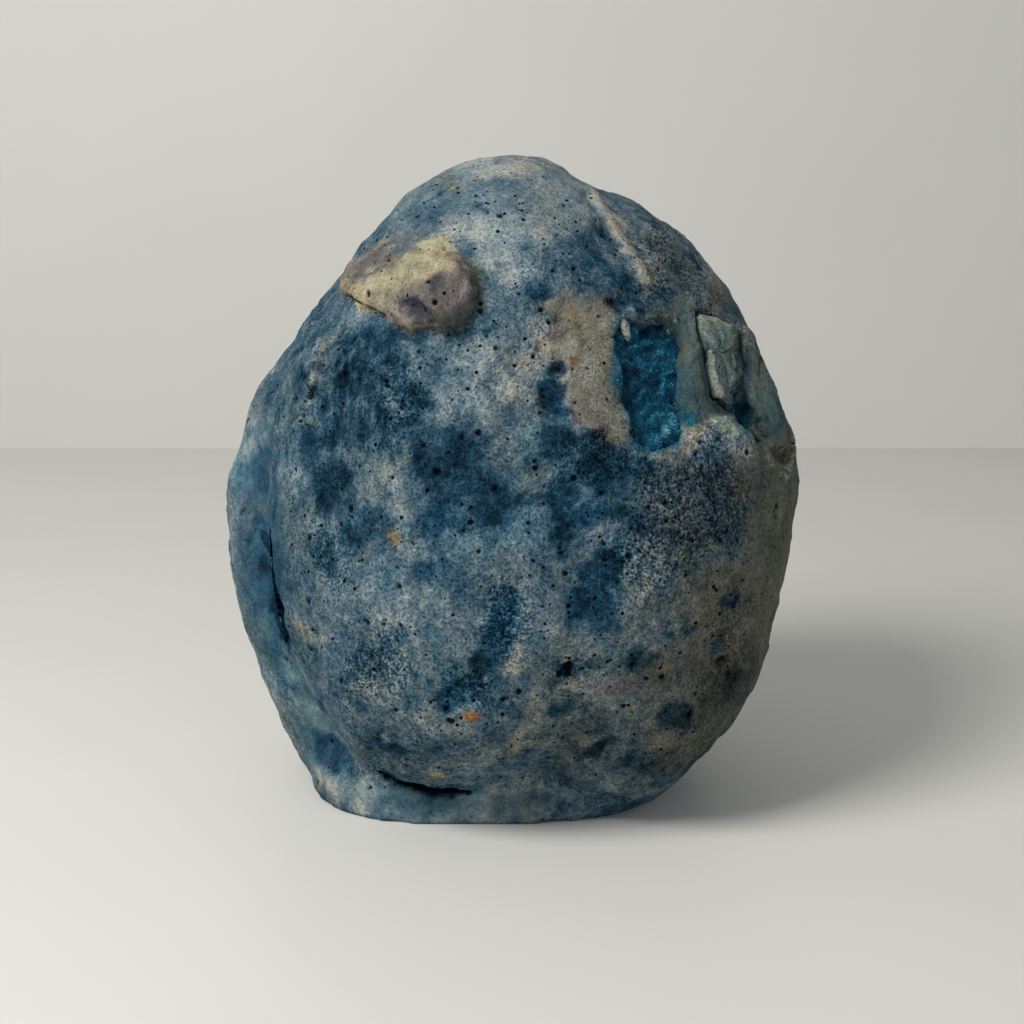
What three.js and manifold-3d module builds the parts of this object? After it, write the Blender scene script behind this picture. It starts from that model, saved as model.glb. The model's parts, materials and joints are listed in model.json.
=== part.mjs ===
// A blue-dyed agate nodule standing on its sawn base: a lumpy stone of one piece, with a crust of
// fine crystals in the open pocket on its upper right. Millimetres, +Z up, the front faces -Y.
// The origin is on the sawn base, under the middle of the stone.
import * as THREE from "three";
import { ImprovedNoise } from "three/addons/math/ImprovedNoise.js";
import { mergeVertices } from "three/addons/utils/BufferGeometryUtils.js";
import Module from "manifold-3d";

const wasm = await Module();
wasm.setup();

// Driving dimensions of the whole stone.
const HEIGHT = 109;
const FAR = 4 * HEIGHT;

// The open pocket, the crust of crystals in it and the fit between the two.
const POCKET_DEPTH = 4.4;
const CRUST_THICKNESS = 1.3;
const CRUST_GAP = 0.3;
const CRYSTAL_SPACING = 1.9;

// How deep the fracture on the right was broken out.
const FRACTURE_DEPTH = 3.6;

// How far a cutting prism reaches on either side of the skin.
const PRISM_REACH = 20;

// Compass direction, in degrees from +X, that the front of the stone faces.
const FRONT = -90;

const noise = new ImprovedNoise();
const random = seededRandom(7);

// ---- Solids -------------------------------------------------------------------------------

// A repeatable source of numbers from 0 to 1.
function seededRandom(seed) {
  let state = seed;
  return () => {
    state = (state * 16807) % 2147483647;
    return state / 2147483647;
  };
}

// A closed three.js geometry as a manifold-3d solid. Triangles that close up to a line are left out.
function solidOf(geometry) {
  const bare = geometry.index ? geometry.toNonIndexed() : geometry.clone();
  bare.deleteAttribute("normal");
  bare.deleteAttribute("uv");
  const merged = mergeVertices(bare, 1e-4);
  const corners = [];
  for (let i = 0; i < merged.index.count; i += 3) {
    const triangle = [merged.index.getX(i), merged.index.getX(i + 1), merged.index.getX(i + 2)];
    if (new Set(triangle).size === 3) corners.push(...triangle);
  }
  return new wasm.Manifold(
    new wasm.Mesh({
      numProp: 3,
      vertProperties: merged.attributes.position.array,
      triVerts: new Uint32Array(corners),
    }),
  );
}

// A manifold-3d solid as a three.js geometry.
function geometryOf(solid) {
  const made = solid.getMesh();
  const positions = new Float32Array(made.numVert * 3);
  for (let i = 0; i < made.numVert; i++) {
    positions.set(made.vertProperties.subarray(i * made.numProp, i * made.numProp + 3), i * 3);
  }
  return new THREE.BufferGeometry()
    .setAttribute("position", new THREE.BufferAttribute(positions, 3))
    .setIndex(new THREE.BufferAttribute(made.triVerts, 1));
}

function joined(solids) {
  return solids.reduce((whole, piece) => whole.add(piece));
}

// ---- Lobes: the rounded masses that the stone grew as ---------------------------------------

// The distance from a centre to a closed smooth outline of [x, z] points, as a function of angle.
function outlineRadius(outline, centre) {
  const curve = new THREE.CatmullRomCurve3(
    outline.map(([x, z]) => new THREE.Vector3(x - centre[0], 0, z - centre[1])),
    true,
  );
  const steps = 360;
  const samples = curve
    .getPoints(steps)
    .slice(0, steps)
    .map((p) => [Math.atan2(p.z, p.x), Math.hypot(p.x, p.z)])
    .sort((a, b) => a[0] - b[0]);
  return (angle) => {
    let after = samples.findIndex((sample) => sample[0] > angle);
    if (after < 0) after = 0;
    const before = (after + steps - 1) % steps;
    const [a0, r0] = samples[before];
    const [a1, r1] = samples[after];
    const turn = 2 * Math.PI;
    const share = ((angle - a0 + turn) % turn) / ((a1 - a0 + turn) % turn || 1);
    return r0 + (r1 - r0) * share;
  };
}

// A rounded mass whose edge, seen from the front, is the outline. It bulges forwards and
// backwards from its middle plane, which leans back by `lean` for each millimetre of height.
function lobe({ outline, centre, y, front, back, lean = 0, fullness = 2.2, lumps, detail }, inset) {
  const radiusAt = outlineRadius(outline, centre);
  const geometry = new THREE.IcosahedronGeometry(1, detail);
  const position = geometry.attributes.position;
  const p = new THREE.Vector3();
  for (let i = 0; i < position.count; i++) {
    p.fromBufferAttribute(position, i);
    const across = Math.hypot(p.x, p.z);
    const full = (across ** fullness + Math.abs(p.y) ** fullness) ** (-1 / fullness);
    const reach = radiusAt(Math.atan2(p.z, p.x)) - inset;
    const depth = (p.y < 0 ? front : back) - inset;
    const around = across > 0 ? (reach * full) : 0;
    const x = centre[0] + p.x * around;
    const z = centre[1] + p.z * around;
    const at = new THREE.Vector3(x, y + p.y * full * depth + lean * (z - centre[1]), z);
    position.setXYZ(i, ...lumpy(at, p, lumps).toArray());
  }
  return solidOf(geometry);
}

// Moves a point along a direction by two octaves of noise: broad swells and smaller lumps.
function lumpy(at, direction, { swell, swellSize, lump, lumpSize, seed }) {
  const swells = noise.noise(at.x / swellSize + seed, at.y / swellSize, at.z / swellSize);
  const small = noise.noise(at.x / lumpSize, at.y / lumpSize + seed, at.z / lumpSize);
  return at.addScaledVector(direction, swell * swells + lump * small);
}

const STONE_LUMPS = { swell: 1.6, swellSize: 21, lump: 0.9, lumpSize: 9, seed: 3.7 };

// The back of the stone, which shows as a band down the left side.
const BACK_LOBE = {
  outline: [
    [0, 104], [-14, 101], [-27, 90], [-38, 77.5], [-46.5, 66.5], [-51.2, 52.5],
    [-50.4, 40], [-48.5, 28], [-45, 16], [-40.5, 4], [-30, -12], [0, -20], [22, -12],
    [34, 6], [43, 23], [48, 38], [49, 56], [45, 72], [35, 88], [18, 100],
  ],
  centre: [0, 46],
  y: 5,
  front: 28,
  back: 37,
  lean: 0,
  fullness: 2.4,
  lumps: { ...STONE_LUMPS, seed: 8.2 },
  detail: 7,
};

// The great front dome. Its left and lower edges stand proud as a ledge, which fades on the lower
// right.
const FRONT_LOBE = {
  outline: [
    [1, 109], [-10.5, 107.8], [-19, 101], [-26.5, 92], [-35, 83], [-39, 73],
    [-41.5, 56], [-41, 41], [-37.5, 27], [-31, 14.5], [-22, 7], [-9, 3.8],
    [0, 6], [9, 10], [18, 11.5], [26, 12], [33, 15], [39, 21.5], [44, 31], [47.4, 42], [47.6, 53],
    [43, 64], [37.5, 74], [31, 83], [24, 92], [16, 102], [9, 107.4],
  ],
  centre: [1, 56],
  y: -5,
  front: 37,
  back: 30,
  lean: 0.2,
  fullness: 2.25,
  lumps: STONE_LUMPS,
  detail: 10,
};

// The right shoulder, a little lower than the dome beside it.
const SHOULDER_LOBE = {
  outline: [
    [16, 103.5], [24, 99.5], [31, 94.5], [36.5, 87.5], [42, 78.5], [46.8, 68], [49.3, 57],
    [48.6, 46], [44, 36], [34, 28], [20, 28], [8, 42], [2, 62], [2, 82], [7, 97],
  ],
  centre: [26, 62],
  y: 0,
  front: 31,
  back: 30,
  lean: 0.24,
  fullness: 2.2,
  lumps: { ...STONE_LUMPS, seed: 5.1 },
  detail: 7,
};

// The foot under the dome, on which the stone was sawn flat.
const FOOT_LOBE = {
  outline: [
    [-36.5, 8], [-36, -2], [-25, -16], [-4, -20], [14, -18], [24, -9], [28.5, 2], [28, 12], [20, 17],
    [12, 16], [-8, 14], [-27, 14],
  ],
  centre: [-5, -2],
  y: -2,
  front: 26,
  back: 24,
  fullness: 2.5,
  lumps: { ...STONE_LUMPS, swell: 1, seed: 1.4 },
  detail: 5,
};

// The round underside on the right, which carries the dome on down to the base.
const RIGHT_FOOT_LOBE = {
  outline: [
    [2, 30], [-3, 16], [1, 2], [10, -6], [20.5, -4.5], [29, 2.5], [36, 9.5], [41.2, 17.5], [45, 29],
    [38, 42], [22, 46], [8, 40],
  ],
  centre: [20, 20],
  y: -3,
  front: 35,
  back: 30,
  lean: -0.2,
  fullness: 2.2,
  lumps: { ...STONE_LUMPS, seed: 6.6 },
  detail: 6,
};

const LOBES = [BACK_LOBE, FRONT_LOBE, SHOULDER_LOBE, FOOT_LOBE, RIGHT_FOOT_LOBE];

// All the lobes as one solid, each of them smaller all round by the inset.
function body(inset = 0) {
  return joined(LOBES.map((spec) => lobe(spec, inset)));
}

// ---- Places on the skin ---------------------------------------------------------------------

const skin = new THREE.Mesh(geometryOf(body()));

// Where the skin is met, if at all, by a line that comes from a compass direction, `side` to the
// right and `z` up as seen from there.
function meetSkin(azimuth, side, z) {
  const turn = THREE.MathUtils.degToRad(azimuth);
  const outward = new THREE.Vector3(Math.cos(turn), Math.sin(turn), 0);
  const from = new THREE.Vector3(-side * outward.y, side * outward.x, z).addScaledVector(outward, FAR);
  return new THREE.Raycaster(from, outward.negate()).intersectObject(skin)[0];
}

// The point of the skin at a place. A place [x, z] on the front is skinPoint(FRONT, x, z).
function skinPoint(azimuth, side, z) {
  return meetSkin(azimuth, side, z).point;
}

// The frame of a place on the skin: across, up and straight out of it, with its point as origin.
// The way out is the mean of the faces round the place.
function placeOn(azimuth, side, z) {
  const step = 2.5;
  const around = [[0, 0], [step, 0], [-step, 0], [0, step], [0, -step]];
  const out = new THREE.Vector3();
  for (const [right, up] of around) {
    const met = meetSkin(azimuth, side + right, z + up);
    if (met) out.add(met.face.normal);
  }
  return frameAt(skinPoint(azimuth, side, z), out.normalize());
}

function frameAt(point, out) {
  const across = new THREE.Vector3(-out.y, out.x, 0).normalize();
  const up = new THREE.Vector3().crossVectors(out, across);
  return new THREE.Matrix4().makeBasis(across, up, out).setPosition(point);
}

// ---- Shapes set into a place ----------------------------------------------------------------

// An uneven ellipsoid in a place, with its half sizes [across, up, out], its middle at `at` in the
// place's frame, and turned about the way out by `turn` degrees.
function knoll(place, { half, at = [0, 0, 0], turn = 0, lumps = SMALL_LUMPS, detail = 2 }) {
  const geometry = new THREE.IcosahedronGeometry(1, detail)
    .scale(...half)
    .rotateZ(THREE.MathUtils.degToRad(turn))
    .translate(...at)
    .applyMatrix4(place);
  const middle = new THREE.Vector3(...at).applyMatrix4(place);
  const position = geometry.attributes.position;
  for (let i = 0; i < position.count; i++) {
    const p = new THREE.Vector3().fromBufferAttribute(position, i);
    const outward = p.clone().sub(middle).normalize();
    position.setXYZ(i, ...lumpy(p, outward, lumps).toArray());
  }
  return solidOf(geometry);
}

// A straight-sided prism in a place, on an outline of [across, up] points. It runs from `below` the
// skin to `above` it.
function prism(place, outline, below, above) {
  const shape = new THREE.Shape(outline.map(([across, up]) => new THREE.Vector2(across, up)));
  const geometry = new THREE.ExtrudeGeometry(shape, { depth: below + above, bevelEnabled: false });
  return solidOf(geometry.translate(0, 0, -below).applyMatrix4(place));
}

// A round bar of changing radius along a smooth curve through the points, closed to a tip at both
// ends.
function taperedBar(points, radii, sides = 6) {
  const curve = new THREE.CatmullRomCurve3(points);
  const steps = 2 * points.length;
  const girth = new THREE.CatmullRomCurve3(radii.map((radius) => new THREE.Vector3(radius, 0, 0)));
  const geometry = new THREE.TubeGeometry(curve, steps, 1, sides, false);
  const position = geometry.attributes.position;
  for (let i = 0; i < position.count; i++) {
    const along = Math.floor(i / (sides + 1)) / steps;
    const middle = curve.getPointAt(along);
    const closed = along === 0 || along === 1;
    const radius = closed ? 0 : girth.getPoint(along).x;
    const p = new THREE.Vector3().fromBufferAttribute(position, i).sub(middle);
    position.setXYZ(i, ...p.multiplyScalar(radius).add(middle).toArray());
  }
  return solidOf(geometry);
}

// The part of a prism that lies between the skin and a floor that follows it at a depth.
function hollowOut(place, outline, depth) {
  return prism(place, outline, PRISM_REACH, PRISM_REACH).subtract(body(depth));
}

// The part of the stone inside a prism, up to a top that follows the skin at a depth.
function plateIn(place, outline, depth) {
  return prism(place, outline, 2 * FRACTURE_DEPTH, PRISM_REACH).intersect(body(depth));
}

const SMALL_LUMPS = { swell: 0.9, swellSize: 7, lump: 0.5, lumpSize: 2.6, seed: 2.3 };
const KNOB_LUMPS = { swell: 1.8, swellSize: 6.5, lump: 0.9, lumpSize: 3.1, seed: 2.3 };
const DENT_LUMPS = { swell: 3.5, swellSize: 11, lump: 1.2, lumpSize: 5, seed: 9.1 };
const NO_LUMPS = { swell: 0, swellSize: 1, lump: 0, lumpSize: 1, seed: 0 };

// ---- What stands proud of the skin ----------------------------------------------------------

// The knob at the top left, like a fist: a steep bulb that tapers off to the upper left.
const KNOB = [
  { x: -11.6, z: 88.8, half: [6.6, 8.3, 6.6], sink: 1.8, turn: 10 },
  { x: -17.6, z: 90.2, half: [8.2, 7.2, 5.9], sink: 2.2, turn: -5 },
  { x: -24.6, z: 89.6, half: [7, 5, 4.6], sink: 1.8, turn: -12 },
];

function knob() {
  return joined(
    KNOB.map(({ x, z, half, sink, turn }) => {
      return knoll(placeOn(FRONT, x, z), { half, at: [0, 0, -sink], turn, lumps: KNOB_LUMPS, detail: 3 });
    }),
  );
}

// A narrow ridge along places [x, z] of the front, `lift` above the skin.
function ridge(places, radii, lift) {
  const points = places.map(([x, z]) => new THREE.Vector3(0, 0, lift).applyMatrix4(placeOn(FRONT, x, z)));
  return taperedBar(points, radii);
}

// The tan vein that runs down from the notch between the dome and the shoulder.
function vein() {
  const places = [[14.4, 102.6], [15.8, 100.4], [18.3, 96.6], [20.8, 92], [22.2, 88.2], [22.5, 86.6]];
  return ridge(places, [0.2, 0.8, 1, 1.2, 1.5, 1], 0.2);
}

// The short ridge near the left edge of the dome.
function leftRidge() {
  return ridge([[-32.4, 80], [-32.2, 77], [-31.7, 73.5], [-31.5, 70], [-31.4, 67]], [0.3, 0.7, 0.8, 0.7, 0.3], 0.1);
}

// ---- What is cut into the skin --------------------------------------------------------------

// A groove along places [x, z] of the front.
function groove(places, radii) {
  return taperedBar(places.map(([x, z]) => skinPoint(FRONT, x, z)), radii);
}

// The open crack between the left edge of the dome and the back of the stone.
function leftCrack() {
  const places = [[-42.6, 54], [-42.2, 49], [-42, 44.5], [-41.5, 40], [-40.9, 35.5], [-40, 31], [-38.6, 27]];
  return groove(places, [0.4, 1.5, 1.9, 1.9, 1.7, 1.4, 0.4]);
}

// The hollow under the lip of the dome, low on the left.
function lipHollow() {
  return groove([[-18.5, 7], [-15.5, 6], [-12, 5.6], [-8.5, 5.8], [-5, 6.6], [-1.5, 8]], [0.3, 1.2, 1.8, 1.8, 1.3, 0.4]);
}

// Pits on the front as [x, z, radius], the deep one first.
const FRONT_PITS = [
  [9, 32.2, 2], [18.5, 32.4, 1.1], [-17.5, 44, 1], [-25, 40, 1], [-21, 34, 1.1], [-11, 62, 1],
  [2.5, 80.5, 0.9], [13, 96, 0.9], [-26, 58, 1], [8, 57, 1], [27, 52, 1.1], [24, 25, 1],
];

// How many more pits there are round the sides and the back, and their smallest and largest radius.
const OTHER_PITS = { count: 10, smallest: 0.8, largest: 1.5 };

function pit(place, radius) {
  return knoll(place, { half: [radius, radius, 1.1 * radius], lumps: NO_LUMPS, detail: 0 });
}

function pits() {
  const front = FRONT_PITS.map(([x, z, radius]) => pit(placeOn(FRONT, x, z), radius));
  const { count, smallest, largest } = OTHER_PITS;
  const others = Array.from({ length: count }, (_, i) => {
    const azimuth = -20 + (220 * (i + random())) / count;
    const z = HEIGHT * (0.12 + 0.74 * random());
    return pit(placeOn(azimuth, 0, z), smallest + (largest - smallest) * random());
  });
  return joined([...front, ...others]);
}

// The small blue hollow in the tan patch, and the broad dents of the sides and the back.
const DENTS = [
  { azimuth: FRONT, side: 6.4, z: 74.6, half: [2.2, 3.6, 2], turn: 12, lumps: SMALL_LUMPS },
  { azimuth: 75, side: -14, z: 66, half: [13, 9, 4], turn: 25 },
  { azimuth: 130, side: 6, z: 36, half: [9, 14, 3.5], turn: -15 },
  { azimuth: 20, side: 4, z: 34, half: [8, 5, 2.6], turn: 30 },
  { azimuth: 185, side: -6, z: 62, half: [6, 10, 2.4], turn: 10 },
];

function dents() {
  return joined(
    DENTS.map(({ azimuth, side, z, half, turn, lumps = DENT_LUMPS }) => {
      return knoll(placeOn(azimuth, side, z), { half, turn, lumps, detail: 1 });
    }),
  );
}

// ---- The fracture on the right --------------------------------------------------------------

const FRACTURE = frameAt(new THREE.Vector3(39, -16, 74), new THREE.Vector3(0.7, -0.46, 0.54).normalize());

const FRACTURE_RIM = [
  [-6, 15], [-2, 13.2], [3.4, 11.2], [6.2, 8], [9.5, 5.6], [14, 1.5], [19, -3.5], [18, -9], [14.5, -12],
  [8, -15.5], [-1.5, -17.5], [-4.5, -15.8], [-7, -12], [-9.2, -8.4], [-11.5, -5], [-13.4, -2],
  [-12.6, 1], [-11, 4.5], [-9.4, 9],
];

// The plates left standing in the fracture, each with its outline and the depth of its top.
const FRACTURE_PLATES = [
  { depth: 0.7, outline: [[-4.8, 13], [-2.6, 12.2], [2.6, 10.4], [4.6, 9], [1.4, 5.6], [-2.6, 6.2], [-6.4, 4.4], [-8.6, 6], [-7.6, 9]] },
  { depth: 1.2, outline: [[-9.2, 5.2], [-6.5, 3.6], [-2.8, 5.4], [0.9, 4.9], [-1.8, 1.6], [-5.6, -1], [-9.4, -2.8], [-11.8, -2.6], [-11.6, 0], [-9.8, 4]] },
  { depth: 1, outline: [[7.4, 5.4], [9.6, 3.4], [9.4, 0], [6, -4], [0.6, -7], [-1.8, -4.4], [-1, -1.6], [3.4, 1.8]] },
  { depth: 1.7, outline: [[11, 3.2], [15, -0.4], [14, -5], [8, -10.6], [1.6, -12.6], [1.6, -9], [7.4, -5.4], [10.8, -1]] },
  { depth: 0.9, outline: [[15.6, 1], [20, -3.5], [18.6, -9.6], [15, -13], [9, -16.4], [7.8, -13.8], [13.4, -9.6], [16, -4]] },
  { depth: 2, outline: [[-5.6, -10.6], [-1.4, -10.4], [-0.4, -15.6], [-2, -17], [-4.6, -15.4]] },
];

// The round bead of the stone that shows at the foot of the fracture.
const FRACTURE_BEAD = { half: [1.7, 1.7, 2.2], at: [-5.8, -8.6, -2.6] };

// ---- The pocket and its crystals ------------------------------------------------------------

const POCKET = frameAt(new THREE.Vector3(22.6, -29.4, 74), new THREE.Vector3(0.52, -0.72, 0.46).normalize());

const POCKET_RIM = [
  [-2.6, 10.6], [0.8, 11.4], [3.4, 10.4], [6.6, 11.2], [9, 9.4], [8.8, 6], [7, 3.6], [6.4, 0.4], [4.6, -2.2],
  [4.8, -5.4], [3.2, -9], [-0.6, -10], [-3.8, -10.2], [-6.2, -8.2], [-5.8, -4], [-6.4, -0.8], [-4.8, 2.6],
  [-4.6, 6.8],
];

// The pocket's outline drawn in by the gap that the crust keeps from the walls.
function crustRim() {
  const inward = 1.6 * CRUST_GAP;
  return POCKET_RIM.map(([across, up]) => {
    const share = 1 - inward / Math.hypot(across, up);
    return [across * share, up * share];
  });
}

// The crystals' places: rows that cover the pocket, each place moved off its row at random.
function crystalSites() {
  const sites = [];
  const reach = 12;
  for (let across = -reach; across < reach; across += CRYSTAL_SPACING) {
    for (let up = -reach; up < reach; up += CRYSTAL_SPACING) {
      const shift = () => CRYSTAL_SPACING * (random() - 0.5);
      sites.push([across + shift(), up + shift()]);
    }
  }
  const rim = new THREE.Shape(POCKET_RIM.map(([across, up]) => new THREE.Vector2(across, up)));
  return sites.filter(([across, up]) => withinRim(rim.getPoints(), across, up));
}

// Whether a place lies inside a closed outline: a line to its right crosses the outline an odd
// number of times.
function withinRim(corners, across, up) {
  let inside = false;
  corners.forEach((corner, i) => {
    const next = corners[(i + 1) % corners.length];
    const crosses = corner.y > up !== next.y > up;
    const meets = corner.x + ((up - corner.y) * (next.x - corner.x)) / (next.y - corner.y);
    if (crosses && across < meets) inside = !inside;
  });
  return inside;
}

// One crystal tip, which leans a little and stands on the crust's floor.
function crystal([across, up], depth) {
  const width = 0.95 + 0.4 * random();
  const height = 2.2 + 1.1 * random();
  const lean = () => 0.6 * (random() - 0.5);
  const geometry = new THREE.ConeGeometry(width, height, 5)
    .rotateX(Math.PI / 2)
    .rotateZ(Math.PI * random())
    .rotateX(lean())
    .rotateY(lean())
    .translate(across, up, height / 2 - depth)
    .applyMatrix4(POCKET);
  return solidOf(geometry);
}

function druzyCrust() {
  const underside = POCKET_DEPTH - CRUST_GAP;
  const within = prism(POCKET, crustRim(), PRISM_REACH, PRISM_REACH).subtract(body(underside));
  const bed = within.intersect(body(underside - CRUST_THICKNESS));
  const crystals = crystalSites().map((site) => crystal(site, underside - 0.4 * CRUST_THICKNESS));
  return joined([bed, joined(crystals).intersect(within)]);
}

// ---- The sawn base --------------------------------------------------------------------------

// The part of a solid above the plane of the saw cut.
function aboveBase(solid) {
  const ground = new THREE.BoxGeometry(FAR, FAR, FAR).translate(0, 0, -FAR / 2);
  return solid.subtract(solidOf(ground));
}

// Chips broken from the edge of the sawn base, as places along the front and their half sizes.
const BASE_CHIPS = [
  { azimuth: FRONT, side: 6.5, half: [2.2, 1.6, 0.9] },
  { azimuth: 60, side: 3, half: [4, 2.6, 1.4] },
];

function baseChips() {
  return joined(BASE_CHIPS.map(({ azimuth, side, half }) => knoll(placeOn(azimuth, side, 0), { half, detail: 1 })));
}

// ---- The whole stone ------------------------------------------------------------------------

function nodule() {
  const grown = joined([body(), knob(), vein(), leftRidge()]);
  const broken = grown.subtract(hollowOut(FRACTURE, FRACTURE_RIM, FRACTURE_DEPTH));
  const plates = FRACTURE_PLATES.map(({ outline, depth }) => plateIn(FRACTURE, outline, depth));
  const bead = knoll(FRACTURE, { ...FRACTURE_BEAD, lumps: NO_LUMPS, detail: 2 });
  const mended = joined([broken, ...plates, bead]);
  const cuts = joined([
    hollowOut(POCKET, POCKET_RIM, POCKET_DEPTH), leftCrack(), lipHollow(), pits(), dents(), baseChips(),
  ]);
  return aboveBase(mended.subtract(cuts));
}

const RIND_FINISH = new THREE.MeshStandardMaterial({
  name: "dyed_rind",
  color: new THREE.Color(0.3, 0.42, 0.5),
  roughness: 0.85,
  metalness: 0,
});

const DRUSE_FINISH = new THREE.MeshStandardMaterial({
  name: "teal_druse",
  color: new THREE.Color(0.05, 0.34, 0.46),
  roughness: 0.35,
  metalness: 0,
});

const STONE = [
  { name: "nodule", solid: nodule(), finish: RIND_FINISH },
  { name: "druzy_crust", solid: druzyCrust(), finish: DRUSE_FINISH },
];

const agate = new THREE.Group();
for (const { name, solid, finish } of STONE) {
  const mesh = new THREE.Mesh(geometryOf(solid), finish);
  mesh.name = name;
  agate.add(mesh);
}

// The stone is moved so that the middle of its box is over the origin.
const middle = new THREE.Box3().setFromObject(agate).getCenter(new THREE.Vector3());
for (const mesh of agate.children) mesh.geometry.translate(-middle.x, -middle.y, 0);

export default agate;
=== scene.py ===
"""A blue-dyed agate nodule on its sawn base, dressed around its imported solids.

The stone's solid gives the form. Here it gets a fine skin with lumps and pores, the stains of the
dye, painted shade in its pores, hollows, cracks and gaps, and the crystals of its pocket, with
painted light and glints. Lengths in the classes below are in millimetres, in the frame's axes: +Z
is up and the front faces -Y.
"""

from __future__ import annotations

import json
import logging
import math
from dataclasses import dataclass, field
from enum import Enum
from typing import Callable, Sequence

import bmesh
import bpy
import numpy as np
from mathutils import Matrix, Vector, bvhtree, kdtree, noise

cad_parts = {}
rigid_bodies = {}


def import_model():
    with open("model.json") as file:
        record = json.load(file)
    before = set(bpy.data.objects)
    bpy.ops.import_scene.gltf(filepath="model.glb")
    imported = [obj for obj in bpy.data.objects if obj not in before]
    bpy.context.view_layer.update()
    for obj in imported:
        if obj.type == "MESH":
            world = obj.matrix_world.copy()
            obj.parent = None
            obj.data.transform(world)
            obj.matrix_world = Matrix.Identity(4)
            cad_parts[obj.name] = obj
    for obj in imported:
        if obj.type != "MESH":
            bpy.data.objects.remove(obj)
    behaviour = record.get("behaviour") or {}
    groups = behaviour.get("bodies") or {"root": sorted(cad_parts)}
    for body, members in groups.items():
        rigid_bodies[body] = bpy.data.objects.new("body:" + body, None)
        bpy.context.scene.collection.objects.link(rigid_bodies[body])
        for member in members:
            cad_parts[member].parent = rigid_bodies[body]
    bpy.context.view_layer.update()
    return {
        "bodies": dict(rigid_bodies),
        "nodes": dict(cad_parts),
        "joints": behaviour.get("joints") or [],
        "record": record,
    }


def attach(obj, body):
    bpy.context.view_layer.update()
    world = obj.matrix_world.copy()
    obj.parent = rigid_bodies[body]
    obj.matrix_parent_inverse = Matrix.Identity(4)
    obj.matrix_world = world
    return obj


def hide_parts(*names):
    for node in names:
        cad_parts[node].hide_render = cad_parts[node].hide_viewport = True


log = logging.getLogger("agate")

MM = 0.001
BODY = "root"

# How near two corners of a solid's loose triangles are when they are one, in millimetres.
SAME_CORNER = 1e-3

# Crystals are left out where they would grow more thinly than this share of the full number.
THINNEST_GROWTH = 0.03

# The places of a colour Mix node's sockets: its factor, its two colours and its result.
MIX_INPUTS = (0, 6, 7)
MIX_RESULT = 2

Array = np.ndarray
Colour = tuple[float, float, float]


# ---- Numbers over a surface -------------------------------------------------------------------


def smooth_step(value: Array, low: float, high: float) -> Array:
    """Rises smoothly from 0 at low to 1 at high, or falls if low is above high."""
    share = np.clip((value - low) / (high - low), 0.0, 1.0)
    return share * share * (3.0 - 2.0 * share)


def noise_at(points: Array, size: float, seed: float = 0.0) -> Array:
    """Smooth noise from about -1 to 1 at each point.

    Args:
        points: Places in millimetres, one to a row.
        size: Width of a lump of the noise, in millimetres.
        seed: Moves the pattern to another part of the noise.

    Returns:
        One value for each point.
    """
    offset = Vector((seed * 17.3, seed * 5.9, -seed * 11.7))
    return np.array([noise.noise(Vector(p) + offset) for p in points / size])


def sideways_noise(points: Array, size: float, seed: float, size_up: float | None = None) -> Array:
    """A smooth shift across and up at each point, from two unlike noises.

    Args:
        points: Places in millimetres, one to a row.
        size: Width of a lump of the noise, in millimetres.
        seed: The pattern across. The one up has the next seed.
        size_up: Width of a lump of the noise up, where it differs.

    Returns:
        The shift in x and z of each point.
    """
    up = noise_at(points, size_up or size, seed + 1)
    return np.stack([noise_at(points, size, seed), up], axis=1)


# ---- Objects -------------------------------------------------------------------------------------


def placed(name: str, data: bpy.types.ID) -> bpy.types.Object:
    """Adds an object to the scene.

    Args:
        name: Its name.
        data: Its mesh, light or camera.

    Returns:
        The object, at the origin.
    """
    made = bpy.data.objects.new(name, data)
    bpy.context.scene.collection.objects.link(made)
    return made


def joined_copy(frame: dict, node: str) -> bpy.types.Object:
    """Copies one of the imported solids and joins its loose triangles.

    Args:
        frame: The loaded frame.
        node: The solid's name.

    Returns:
        The copy, for use while a skin is made.
    """
    mesh = frame["nodes"][node].data.copy()
    shell = bmesh.new()
    shell.from_mesh(mesh)
    bmesh.ops.remove_doubles(shell, verts=shell.verts, dist=SAME_CORNER * MM)
    shell.to_mesh(mesh)
    shell.free()
    return placed(f"{node}_form", mesh)


def store(mesh: bpy.types.Mesh, name: str, values: Array) -> None:
    """Stores one number for each point of a mesh."""
    layer = mesh.attributes.new(name, "FLOAT", "POINT")
    layer.data.foreach_set("value", values.astype(np.float32))


# ---- The stone's skin as arrays ------------------------------------------------------------------


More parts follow.
